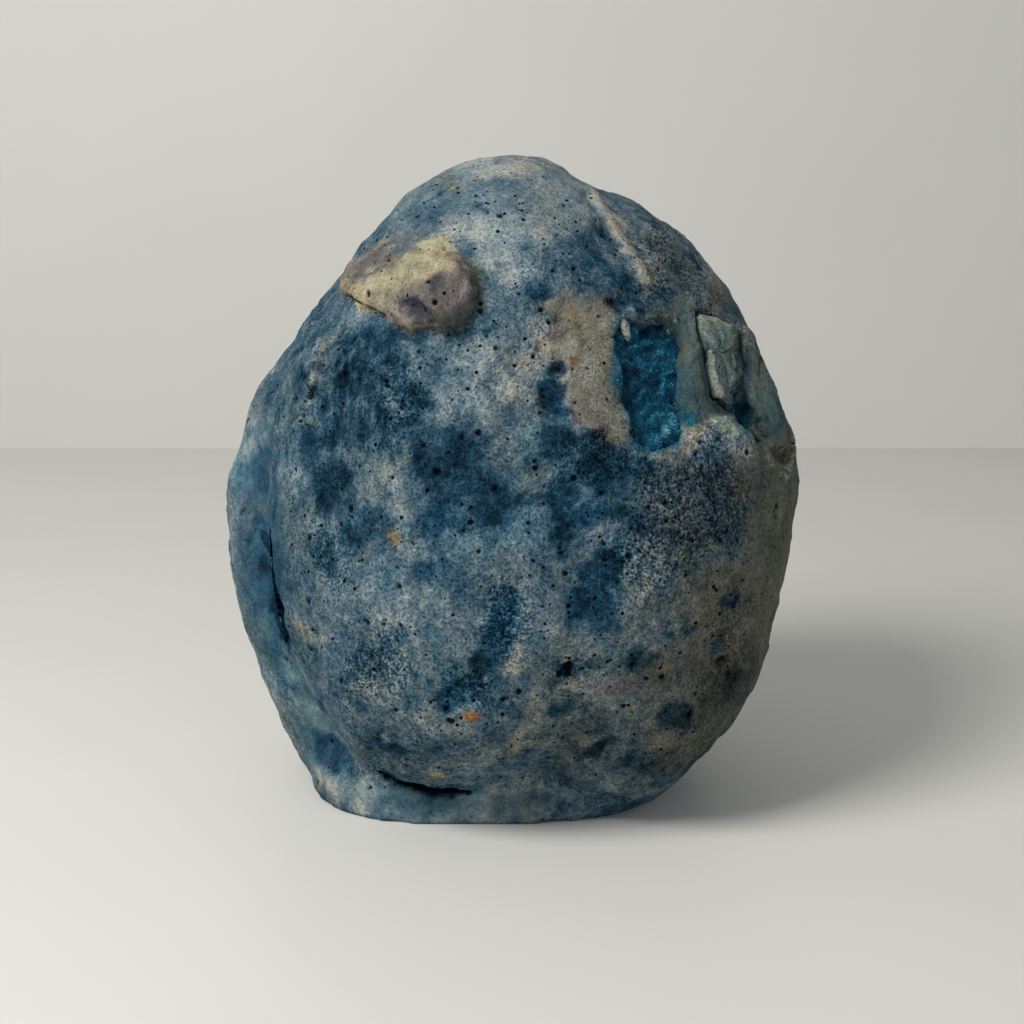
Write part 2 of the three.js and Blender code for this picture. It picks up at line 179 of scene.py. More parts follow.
@dataclass
class Skin:
    """A closed surface of triangles, held as arrays, in millimetres."""

    points: Array
    triangles: Array

    @classmethod
    def of_mesh(cls, mesh: bpy.types.Mesh) -> "Skin":
        """Reads a mesh in metres.

        Args:
            mesh: The mesh.

        Returns:
            Its skin.
        """
        mesh.calc_loop_triangles()
        points = np.empty(len(mesh.vertices) * 3)
        mesh.vertices.foreach_get("co", points)
        triangles = np.empty(len(mesh.loop_triangles) * 3, dtype=np.int64)
        mesh.loop_triangles.foreach_get("vertices", triangles)
        return cls(points.reshape(-1, 3) / MM, triangles.reshape(-1, 3))

    @classmethod
    def even(cls, form: bpy.types.Object, voxel: float) -> "Skin":
        """Covers a form with an even mesh of small faces.

        Args:
            form: The closed object that is covered.
            voxel: The faces' size, in millimetres.

        Returns:
            The skin.
        """
        remesh = form.modifiers.new("even", "REMESH")
        remesh.mode = "VOXEL"
        remesh.voxel_size = voxel * MM
        evaluated = form.evaluated_get(bpy.context.evaluated_depsgraph_get())
        mesh = bpy.data.meshes.new_from_object(evaluated)
        form.modifiers.remove(remesh)
        return cls.of_mesh(mesh)

    def to_mesh(self, name: str) -> bpy.types.Mesh:
        """Writes a smooth-shaded mesh in metres.

        Args:
            name: The mesh's name.

        Returns:
            The mesh.
        """
        mesh = bpy.data.meshes.new(name)
        count = len(self.triangles)
        mesh.vertices.add(len(self.points))
        mesh.vertices.foreach_set("co", (self.points * MM).ravel())
        mesh.loops.add(count * 3)
        mesh.loops.foreach_set("vertex_index", self.triangles.ravel().astype(np.int32))
        mesh.polygons.add(count)
        mesh.polygons.foreach_set("loop_start", np.arange(0, count * 3, 3, dtype=np.int32))
        mesh.update(calc_edges=True)
        mesh.polygons.foreach_set("use_smooth", np.ones(count, dtype=bool))
        mesh.validate()
        return mesh

    def edge_table(self) -> tuple[Array, Array]:
        """Finds the edges.

        Returns:
            The two points of each edge, and the three edges of each triangle, the first of
            which joins the triangle's first two corners.
        """
        tri = self.triangles
        ends = np.stack([tri, np.roll(tri, -1, axis=1)], axis=2).reshape(-1, 2)
        ends = np.sort(ends, axis=1)
        keys = ends[:, 0] * len(self.points) + ends[:, 1]
        unique, where = np.unique(keys, return_inverse=True)
        pairs = np.stack([unique // len(self.points), unique % len(self.points)], axis=1)
        return pairs, where.reshape(-1, 3)

    def normals(self) -> Array:
        """Works out the outward direction at each point, from the faces round it.

        Returns:
            One unit vector for each point.
        """
        a, b, c = (self.points[self.triangles[:, i]] for i in range(3))
        faces = np.cross(b - a, c - a)
        out = np.zeros_like(self.points)
        for axis in range(3):
            for corner in range(3):
                out[:, axis] += np.bincount(
                    self.triangles[:, corner], weights=faces[:, axis], minlength=len(out)
                )
        return out / np.maximum(np.linalg.norm(out, axis=1, keepdims=True), 1e-12)

    def smoothed(self, rounds: int, strength: Array | float) -> "Skin":
        """Moves each point towards the mean of its neighbours.

        Args:
            rounds: How many times.
            strength: Share of the way at each point, from 0 to 1.

        Returns:
            The smoother skin.
        """
        pairs, _ = self.edge_table()
        ends, others = pairs[:, 0], pairs[:, 1]
        count = len(self.points)
        degree = np.bincount(ends, minlength=count) + np.bincount(others, minlength=count)
        degree = np.maximum(degree, 1)
        points = self.points.copy()
        share = np.broadcast_to(strength, (count,))
        for _ in range(rounds):
            for axis in range(3):
                values = points[:, axis]
                total = np.bincount(ends, weights=values[others], minlength=count)
                total += np.bincount(others, weights=values[ends], minlength=count)
                points[:, axis] = values + share * (total / degree - values)
        return Skin(points, self.triangles)

    def refined(self, chosen: Callable[[Array, Array], Array]) -> "Skin":
        """Splits edges at their middles, and the triangles that they bound.

        Args:
            chosen: Given the middles and the lengths of the edges, says which are split.

        Returns:
            The finer skin.
        """
        pairs, sides = self.edge_table()
        first, second = self.points[pairs[:, 0]], self.points[pairs[:, 1]]
        split = chosen((first + second) / 2, np.linalg.norm(second - first, axis=1))
        middle = np.full(len(pairs), -1)
        middle[split] = len(self.points) + np.arange(int(split.sum()))
        points = np.vstack([self.points, (first[split] + second[split]) / 2])
        made = [self.triangles[(middle[sides] < 0).all(axis=1)]]
        for turn in range(3):
            a, b, c = (self.triangles[:, (turn + i) % 3] for i in range(3))
            ab, bc, ca = (middle[sides[:, (turn + i) % 3]] for i in range(3))
            one = (ab >= 0) & (bc < 0) & (ca < 0)
            two = (ab >= 0) & (bc >= 0) & (ca < 0)
            made += [np.stack(t, axis=1)[one] for t in ((a, ab, c), (ab, b, c))]
            made += [np.stack(t, axis=1)[two] for t in ((ab, b, bc), (a, ab, bc), (a, bc, c))]
        a, b, c = self.triangles.T
        ab, bc, ca = middle[sides].T
        every = (ab >= 0) & (bc >= 0) & (ca >= 0)
        corners = ((a, ab, ca), (ab, b, bc), (ca, bc, c), (ab, bc, ca))
        made += [np.stack(t, axis=1)[every] for t in corners]
        return Skin(points, np.vstack(made))

    def raised(self, height: Array) -> "Skin":
        """Moves each point out by its height, or in where that is below 0."""
        return Skin(self.points + self.normals() * height[:, None], self.triangles)

    def bed(self, name: str, growth: Array) -> bpy.types.Mesh:
        """Cuts out the faces on which crystals grow.

        Args:
            name: The new mesh's name.
            growth: How readily they grow at each point, from 0 to 1.

        Returns:
            The mesh of those faces, with its growth attribute.
        """
        chosen = (growth[self.triangles] > THINNEST_GROWTH).all(axis=1)
        mesh = Skin(self.points, self.triangles[chosen]).to_mesh(name)
        store(mesh, "growth", growth)
        return mesh


# ---- Node trees ----------------------------------------------------------------------------------


class Ink:
    """A socket of a node tree. Python's operators on it add Math nodes."""

    def __init__(self, tree: "Tree", socket: bpy.types.NodeSocket) -> None:
        """Wraps an output socket."""
        self.tree = tree
        self.socket = socket

    def _math(self, operation: str, *values: "Ink | float") -> "Ink":
        """Adds one Math node."""
        return self.tree.node("ShaderNodeMath", {"operation": operation}, dict(enumerate(values)))

    def __add__(self, other: "Ink | float") -> "Ink":
        """self + other."""
        return self._math("ADD", self, other)

    def __radd__(self, other: float) -> "Ink":
        """other + self."""
        return self._math("ADD", other, self)

    def __sub__(self, other: "Ink | float") -> "Ink":
        """self - other."""
        return self._math("SUBTRACT", self, other)

    def __rsub__(self, other: float) -> "Ink":
        """other - self."""
        return self._math("SUBTRACT", other, self)

    def __mul__(self, other: "Ink | float") -> "Ink":
        """self * other."""
        return self._math("MULTIPLY", self, other)

    def __rmul__(self, other: float) -> "Ink":
        """other * self."""
        return self._math("MULTIPLY", other, self)

    def larger(self, other: "Ink | float") -> "Ink":
        """The larger of the two."""
        return self._math("MAXIMUM", self, other)

    def between(self, low: float, high: float) -> "Ink":
        """Rises smoothly from 0 to 1, or falls if low is above high.

        Args:
            low: The value that gives 0.
            high: The value that gives 1.

        Returns:
            The share, from 0 to 1.
        """
        falls = low > high
        low, high = min(low, high), max(low, high)
        settings = {"interpolation_type": "SMOOTHSTEP"}
        rise = self.tree.node("ShaderNodeMapRange", settings, {0: self, 1: low, 2: high})
        return 1 - rise if falls else rise


@dataclass
class Tree:
    """A node tree and the one way in which nodes are added to it."""

    nodes: bpy.types.NodeTree

    def node(
        self,
        kind: str,
        settings: dict[str, object],
        inputs: dict[int | str, "Ink | float | bool | Sequence[float]"],
        output: int | str = 0,
    ) -> Ink:
        """Adds a node.

        Args:
            kind: The node's type.
            settings: Its own settings, set before its sockets are.
            inputs: Values or links of its sockets, by name or place.
            output: The socket that is returned, by name or place.

        Returns:
            The output socket.
        """
        made = self.nodes.nodes.new(kind)
        for name, value in settings.items():
            setattr(made, name, value)
        for name, value in inputs.items():
            if isinstance(value, Ink):
                self.nodes.links.new(value.socket, made.inputs[name])
            else:
                made.inputs[name].default_value = value
        return Ink(self, made.outputs[output])


class Sheet(Tree):
    """The node tree of one material, with the few nodes that this stone's finishes use."""

    def __init__(self, name: str) -> None:
        """Starts a material with only its output and its main shader.

        Args:
            name: The material's name.
        """
        self.material = bpy.data.materials.new(name)
        self.material.use_nodes = True
        super().__init__(self.material.node_tree)
        self.shader = self.nodes.nodes["Principled BSDF"]
        place = self.node("ShaderNodeTexCoord", {}, {}, output="Object")
        self.place = self.node(
            "ShaderNodeVectorMath", {"operation": "SCALE"}, {0: place, "Scale": 1 / MM}
        )

    def attribute(self, name: str) -> Ink:
        """A value stored on the mesh's points."""
        return self.node("ShaderNodeAttribute", {"attribute_name": name}, {}, output="Fac")

    def noise(
        self,
        size: float,
        detail: float,
        rough: float,
        seed: float = 0,
        stretch: float = 1,
    ) -> Ink:
        """Adds a noise from 0 to 1.

        Args:
            size: The width of its lumps, in millimetres.
            detail: How many finer layers it has.
            rough: How strong those are.
            seed: Which pattern it is.
            stretch: How many times higher than wide its lumps are.

        Returns:
            The noise.
        """
        place = self.place
        if stretch != 1:
            inputs = {0: place, 1: (1.0, 1.0, 1 / stretch)}
            place = self.node("ShaderNodeVectorMath", {"operation": "MULTIPLY"}, inputs)
        inputs = {"Vector": place, "W": seed, "Scale": 1 / size, "Detail": detail}
        inputs["Roughness"] = rough
        return self.node("ShaderNodeTexNoise", {"noise_dimensions": "4D"}, inputs)

    def cells(self, size: float) -> Ink:
        """The distance to the nearest of many scattered points, as a share of their spacing."""
        inputs = {"Vector": self.place, "Scale": 1 / size}
        return self.node("ShaderNodeTexVoronoi", {"feature": "F1"}, inputs, output="Distance")

    def mix(
        self,
        share: "Ink | float",
        first: "Ink | Colour",
        second: "Ink | Colour",
        blend: str = "MIX",
    ) -> Ink:
        """Mixes two colours.

        Args:
            share: The second colour's share, from 0 to 1.
            first: The colour underneath.
            second: The colour on top.
            blend: How the second acts on the first.

        Returns:
            The mixed colour.
        """
        settings = {"data_type": "RGBA", "blend_type": blend}
        made = self.node("ShaderNodeMix", settings, {}, output=MIX_RESULT)
        for place, value in zip(MIX_INPUTS, (share, first, second)):
            socket = made.socket.node.inputs[place]
            if isinstance(value, Ink):
                self.nodes.links.new(value.socket, socket)
            elif isinstance(value, tuple):
                socket.default_value = (*value, 1.0)
            else:
                socket.default_value = value
        return made

    def times(self, colour: "Ink | Colour", tint: "Ink | Colour") -> Ink:
        """One colour multiplied by another."""
        return self.mix(1.0, colour, tint, "MULTIPLY")

    def soft(self, cover: Ink, wobble: Ink) -> Ink:
        """A patch's share, from 0 to 1, with an edge broken up by a noise."""
        return (cover * 1.5 - 0.25 + (wobble - 0.5) * 1.6 * cover).between(0.0, 1.0)

    def wash(self, cover: Ink, wobble: Ink) -> Ink:
        """A patch's share, from 0 to 1, that fades out slowly and unevenly."""
        edge = cover * (1 - cover)
        return (cover + (wobble - 0.5) * 4.5 * edge).between(-0.05, 1.05)

    def ramp(self, share: Ink, stops: Sequence[tuple[float, Sequence[float]]]) -> Ink:
        """Gives each value a colour, between the colours of the stops.

        Args:
            share: The value.
            stops: Some values, from low to high, each with its colour.

        Returns:
            The colour.
        """
        made = self.node("ShaderNodeValToRGB", {}, {0: share})
        bar = made.socket.node.color_ramp
        for place, _ in stops[2:]:
            bar.elements.new(place)
        for element, (place, colour) in zip(bar.elements, stops):
            element.position, element.color = place, (*colour, 1.0)
        return made

    def grey(self, level: Ink) -> Ink:
        """A grey as light as the level, which may be above 1."""
        inputs = {"Red": level, "Green": level, "Blue": level}
        return self.node("ShaderNodeCombineColor", {}, inputs)

    def bump(self, height: Ink, distance: float, strength: float) -> Ink:
        """Bump from a height, whose full depth is a distance in millimetres."""
        inputs = {"Strength": strength, "Distance": distance * MM, "Height": height}
        return self.node("ShaderNodeBump", {}, inputs)

    def finish(
        self, colour: Ink, roughness: Ink, normal: Ink, fixed: dict[str, float]
    ) -> bpy.types.Material:
        """Links what varies to the shader and sets its fixed values.

        Args:
            colour: Its colour.
            roughness: Its roughness.
            normal: Its bump.
            fixed: Values that are the same all over, by the names of their sockets.

        Returns:
            The material.
        """
        for name, value in (("Base Color", colour), ("Roughness", roughness), ("Normal", normal)):
            self.nodes.links.new(value.socket, self.shader.inputs[name])
        for name, value in fixed.items():
            self.shader.inputs[name].default_value = value
        return self.material


# ---- Shapes on the stone -------------------------------------------------------------------------


@dataclass(frozen=True)
class Spot:
    """A soft round or oval place on the front: its middle, half sizes, turn and strength."""

    x: float
    z: float
    across: float
    up: float
    turn: float = 0.0
    strength: float = 1.0

    @property
    def fineness(self) -> float:
        """The longest edge, in millimetres, that still shows the spot."""
        return 0.7

    def reach(self, flat: Array) -> Array:
        """Works out the distance from the middle as a share of the half sizes.

        Args:
            flat: Places in x and z, one to a row.

        Returns:
            One value for each place: 0 in the middle and 1 on the oval.
        """
        angle = math.radians(self.turn)
        dx, dz = flat[:, 0] - self.x, flat[:, 1] - self.z
        along = (dx * math.cos(angle) + dz * math.sin(angle)) / self.across
        over = (dz * math.cos(angle) - dx * math.sin(angle)) / self.up
        return np.hypot(along, over)

    def cover(self, flat: Array) -> Array:
        """How much of the spot lies at each x and z, from 0 to 1."""
        return self.strength * smooth_step(self.reach(flat), 1.3, 0.6)

    def away(self, flat: Array) -> Array:
        """The distance to where the spot fades, in millimetres."""
        return (np.abs(self.reach(flat) - 0.95) - 0.35) * min(self.across, self.up)


def path_distance(flat: Array, path: Sequence[tuple[float, float]]) -> Array:
    """Works out the distance from places on the front to a path of straight pieces.

    Args:
        flat: Places in x and z, one to a row.
        path: The path's corners.

    Returns:
        One distance for each place.
    """
    nearest = np.full(len(flat), np.inf)
    for start, end in zip(path[:-1], path[1:]):
        first, step = np.array(start), np.subtract(end, start)
        share = np.clip((flat - first) @ step / (step @ step), 0.0, 1.0)
        gap = flat - first - share[:, None] * step
        nearest = np.minimum(nearest, np.hypot(gap[:, 0], gap[:, 1]))
    return nearest


@dataclass(frozen=True)
class Line:
    """A soft line on the front, with its half width and strength."""

    path: tuple[tuple[float, float], ...]
    width: float
    strength: float = 1.0

    @property
    def fineness(self) -> float:
        """The longest edge, in millimetres, that still shows the line."""
        return max(0.3, 0.85 * self.width)

    def cover(self, flat: Array) -> Array:
        """How much of the line lies at each x and z, from 0 to 1."""
        away = path_distance(flat, self.path)
        return self.strength * smooth_step(away, 1.3 * self.width, 0.4 * self.width)

    def away(self, flat: Array) -> Array:
        """The distance to the line's soft edge, in millimetres."""
        return path_distance(flat, self.path) - 1.3 * self.width


@dataclass(frozen=True)
class Area:
    """A closed outline on the front, with the width of its soft edge."""

    outline: tuple[tuple[float, float], ...]
    edge: float = 0.6
    strength: float = 1.0

    @property
    def fineness(self) -> float:
        """The longest edge, in millimetres, that still shows the outline."""
        return max(0.3, 0.9 * self.edge)

    def depth(self, flat: Array) -> Array:
        """Works out how far inside the outline places lie, in millimetres.

        Args:
            flat: Places in x and z, one to a row.

        Returns:
            One depth for each place, below 0 outside the outline.
        """
        closed = (*self.outline, self.outline[0])
        inside = np.zeros(len(flat), dtype=bool)
        for (x0, z0), (x1, z1) in zip(closed[:-1], closed[1:]):
            crosses = (z0 > flat[:, 1]) != (z1 > flat[:, 1])
            rise = (z1 - z0) if z1 != z0 else 1e-9
            inside ^= crosses & (flat[:, 0] < x0 + (x1 - x0) * (flat[:, 1] - z0) / rise)
        return path_distance(flat, closed) * np.where(inside, 1.0, -1.0)

    def cover(self, flat: Array) -> Array:
        """How much of the area lies at each x and z, from 0 to 1."""
        return self.strength * smooth_step(self.depth(flat), -self.edge, self.edge)

    def away(self, flat: Array) -> Array:
        """The distance to the soft edge, in millimetres."""
        return np.abs(self.depth(flat)) - self.edge


Shape = Spot | Line | Area


@dataclass(frozen=True)
class Form:
    """A shape that rises from the stone, or sinks into it if its rise is below 0."""

    shape: Shape
    rise: float
    wander: float = 0.35
    tilt: tuple[float, float] = (0.0, 0.0)

    def height(self, points: Array, shift: Array) -> Array:
        """Works out how far each point is moved out.

        Args:
            points: Places on the stone, one to a row.
            shift: The sideways shift that makes the shape's edge irregular.

        Returns:
            One height for each point, in millimetres.
        """
        flat = points[:, [0, 2]] + self.wander * shift
        cover = self.shape.cover(flat)
        if self.tilt == (0.0, 0.0):
            return self.rise * cover
        middle = np.mean(self.shape.outline, axis=0)
        return (self.rise + (flat - middle) @ np.array(self.tilt)) * cover


@dataclass(frozen=True)
class Gap:
    """A gap cut straight back into the stone, to a place on the Y axis. Its depth also paints shade
    into it.
    """

    shape: Line
    floor: float
    wander: float = 0.08

    def depth(self, points: Array, shift: Array) -> Array:
        """How far back each point is cut, in millimetres."""
        cover = self.shape.cover(points[:, [0, 2]] + self.wander * shift)
        return cover * np.maximum(self.floor - points[:, 1], 0.0)


class Dye(Enum):
    """The kinds of colouring that lie on the stone in patches. Navy and moss also hold painted
    shade.
    """

    NAVY_AND_SHADE = "navy_and_shade"
    SKY = "sky"
    PALE = "pale"
    TAN = "tan"
    OLIVE = "olive"
    CRACKLE = "crackle"
    EVEN = "even"
    PLAIN = "plain"
    STREAK = "streak"
    DRUSE = "druse"
    EARTH = "earth"
    RUST = "rust"
    OCHRE = "ochre"
    YELLOW = "yellow"
    MAUVE = "mauve"
    SEA = "sea"
    CREAM = "cream"
    TEAL = "teal"
    SLATE = "slate"
    MOSS_AND_SHADE = "moss"
    INDIGO = "indigo"
    AMBER = "amber"


# The outlines of the knob, the tan patch and the pocket, and the paths of the vein and the ridge.
KNOB_EDGE = (
    (-27, 88.4), (-25.5, 90.6), (-23, 92.4), (-19.5, 94.4), (-16, 95.4), (-12, 96.2),
    (-10, 95.8), (-8.6, 94.4), (-6.6, 92.6), (-5.6, 89.6), (-5.6, 87), (-6.6, 84.2),
    (-8.6, 82.4), (-11, 83), (-14, 82.6), (-17, 83.4), (-20, 84.4), (-22.6, 85.6), (-25.4, 86.6),
)  # fmt: skip
TAN_EDGE = (
    (6, 86), (9.5, 87), (13, 87.5), (16.8, 86), (17, 84), (16.8, 79), (16.8, 75), (18.2, 72),
    (18.9, 65.8), (15, 66.4), (13, 68.5), (10.4, 69.4), (10, 72), (9.6, 75), (9.9, 77.6),
    (7, 78), (4.2, 80), (6.6, 83),
)  # fmt: skip
POCKET_EDGE = (
    (17.6, 83.4), (21, 82.4), (25.6, 82), (26.2, 77), (26.4, 71), (28.4, 69.6), (27.4, 67.8),
    (26, 65.4), (22.6, 64.8), (19, 65.8), (18.4, 71), (17, 74.5), (17, 80),
)  # fmt: skip
VEIN_PATH = ((13.8, 103.6), (15.4, 100.4), (17.3, 97.4), (19.4, 94.4), (21.2, 91.4), (22.4, 89))
RIDGE_PATH = ((-29.4, 79.5), (-30.2, 77), (-31, 74), (-31.6, 71), (-31.4, 67.8))
# The crack along the dome's left edge, the gap over it, and the gap under the dome's lip.
CRACK_PATH = (
    (-41.2, 53), (-40.9, 49), (-40.6, 46), (-40.3, 43.4), (-39.9, 41), (-39.3, 38.4), (-38.6, 35.2),
    (-38, 32.4), (-37.4, 29.6), (-37, 27.8),
)  # fmt: skip
BROW_PATH = (
    (-39.7, 49), (-39.5, 46), (-39.1, 43.5), (-38.7, 41), (-38.1, 38.6), (-37.4, 35.2),
    (-36.9, 32.6),
    (-36.4, 29.8),
)  # fmt: skip
LIP_PATH = ((-21, 9.2), (-18, 7.6), (-15, 6.6), (-12, 6), (-9, 5.6), (-6.4, 5.8), (-4, 6.4))
# The fracture: its cracks, its faces and its rim.
MAIN_CRACK = (
    (31.2, 84.5), (30.9, 82.2), (30.8, 80.4), (31.6, 77.6), (31.8, 75.5), (32.6, 72.1),
    (33.4, 70.8), (34.9, 69.7), (36.6, 68.3), (37.9, 67.3), (39.5, 65.5), (41.6, 62.8),
)  # fmt: skip
SIDE_CRACK = ((38.3, 81.7), (39.1, 79), (39.1, 75.9), (38.6, 72.6), (37, 70.3), (36.2, 68.9))
OUTER_CRACK = ((42, 79.2), (43.1, 76.2), (44.9, 72.8), (46.1, 70.3), (47.4, 67.9))
FACE_A = (
    (31.8, 83.8), (34.4, 82.9), (37.5, 81.5), (38, 80), (37, 78.6), (34.8, 77.9), (32.3, 78.9),
    (31.5, 81),
)  # fmt: skip
FACE_B = (
    (32.2, 78.5), (34.6, 77.6), (36.6, 78.2), (38.4, 77.2), (38.6, 74.6), (37.8, 72), (36, 70.6),
    (33.8, 71), (32.8, 73), (32.3, 75.6),
)  # fmt: skip
FACE_C = (
    (39.6, 81), (41.4, 79.4), (42.6, 76.4), (44.4, 72.8), (45.6, 70.2), (43, 68.8), (40.6, 70.6),
    (39.5, 73), (39.6, 77),
)  # fmt: skip
FACE_F = (
    (35, 77.9), (37.4, 78.4), (38.5, 76.4), (38.4, 73.8), (36.9, 72.6), (36, 74.6), (35.4, 76.4),
)  # fmt: skip
FACE_D = ((43.8, 69.2), (47, 68), (47.7, 65.6), (45.6, 64.8), (43.9, 66))
FACE_E = ((43.9, 63.6), (47.2, 64), (47, 60.6), (45, 59.8))
RIM_PATH = ((41.8, 62.2), (43.6, 59.6), (45.6, 57.6), (47.4, 58.2), (48.7, 60.2), (48.9, 63.4))
# The smooth stone between the pocket and the fracture, as a colour and as a plain surface, and the
# fracture's foot.
SLATE_EDGE = (
    (26.4, 85.6), (29.4, 85.6), (31, 81), (31.8, 76), (32.8, 72), (35, 69.4), (30.4, 67.4),
    (27.4, 69), (26.4, 75),
)  # fmt: skip
BETWEEN_EDGE = (
    (27.4, 86), (29.4, 85.6), (31, 81), (32, 76), (33, 72), (36, 68.4), (30, 67.6), (27, 72),
    (26.6, 80),
)  # fmt: skip
FRACTURE_FOOT = (
    (36.4, 69.4), (41, 71), (45.8, 70), (49, 66), (48.6, 61), (45.4, 58.6), (42, 62), (38.6, 66),
)  # fmt: skip

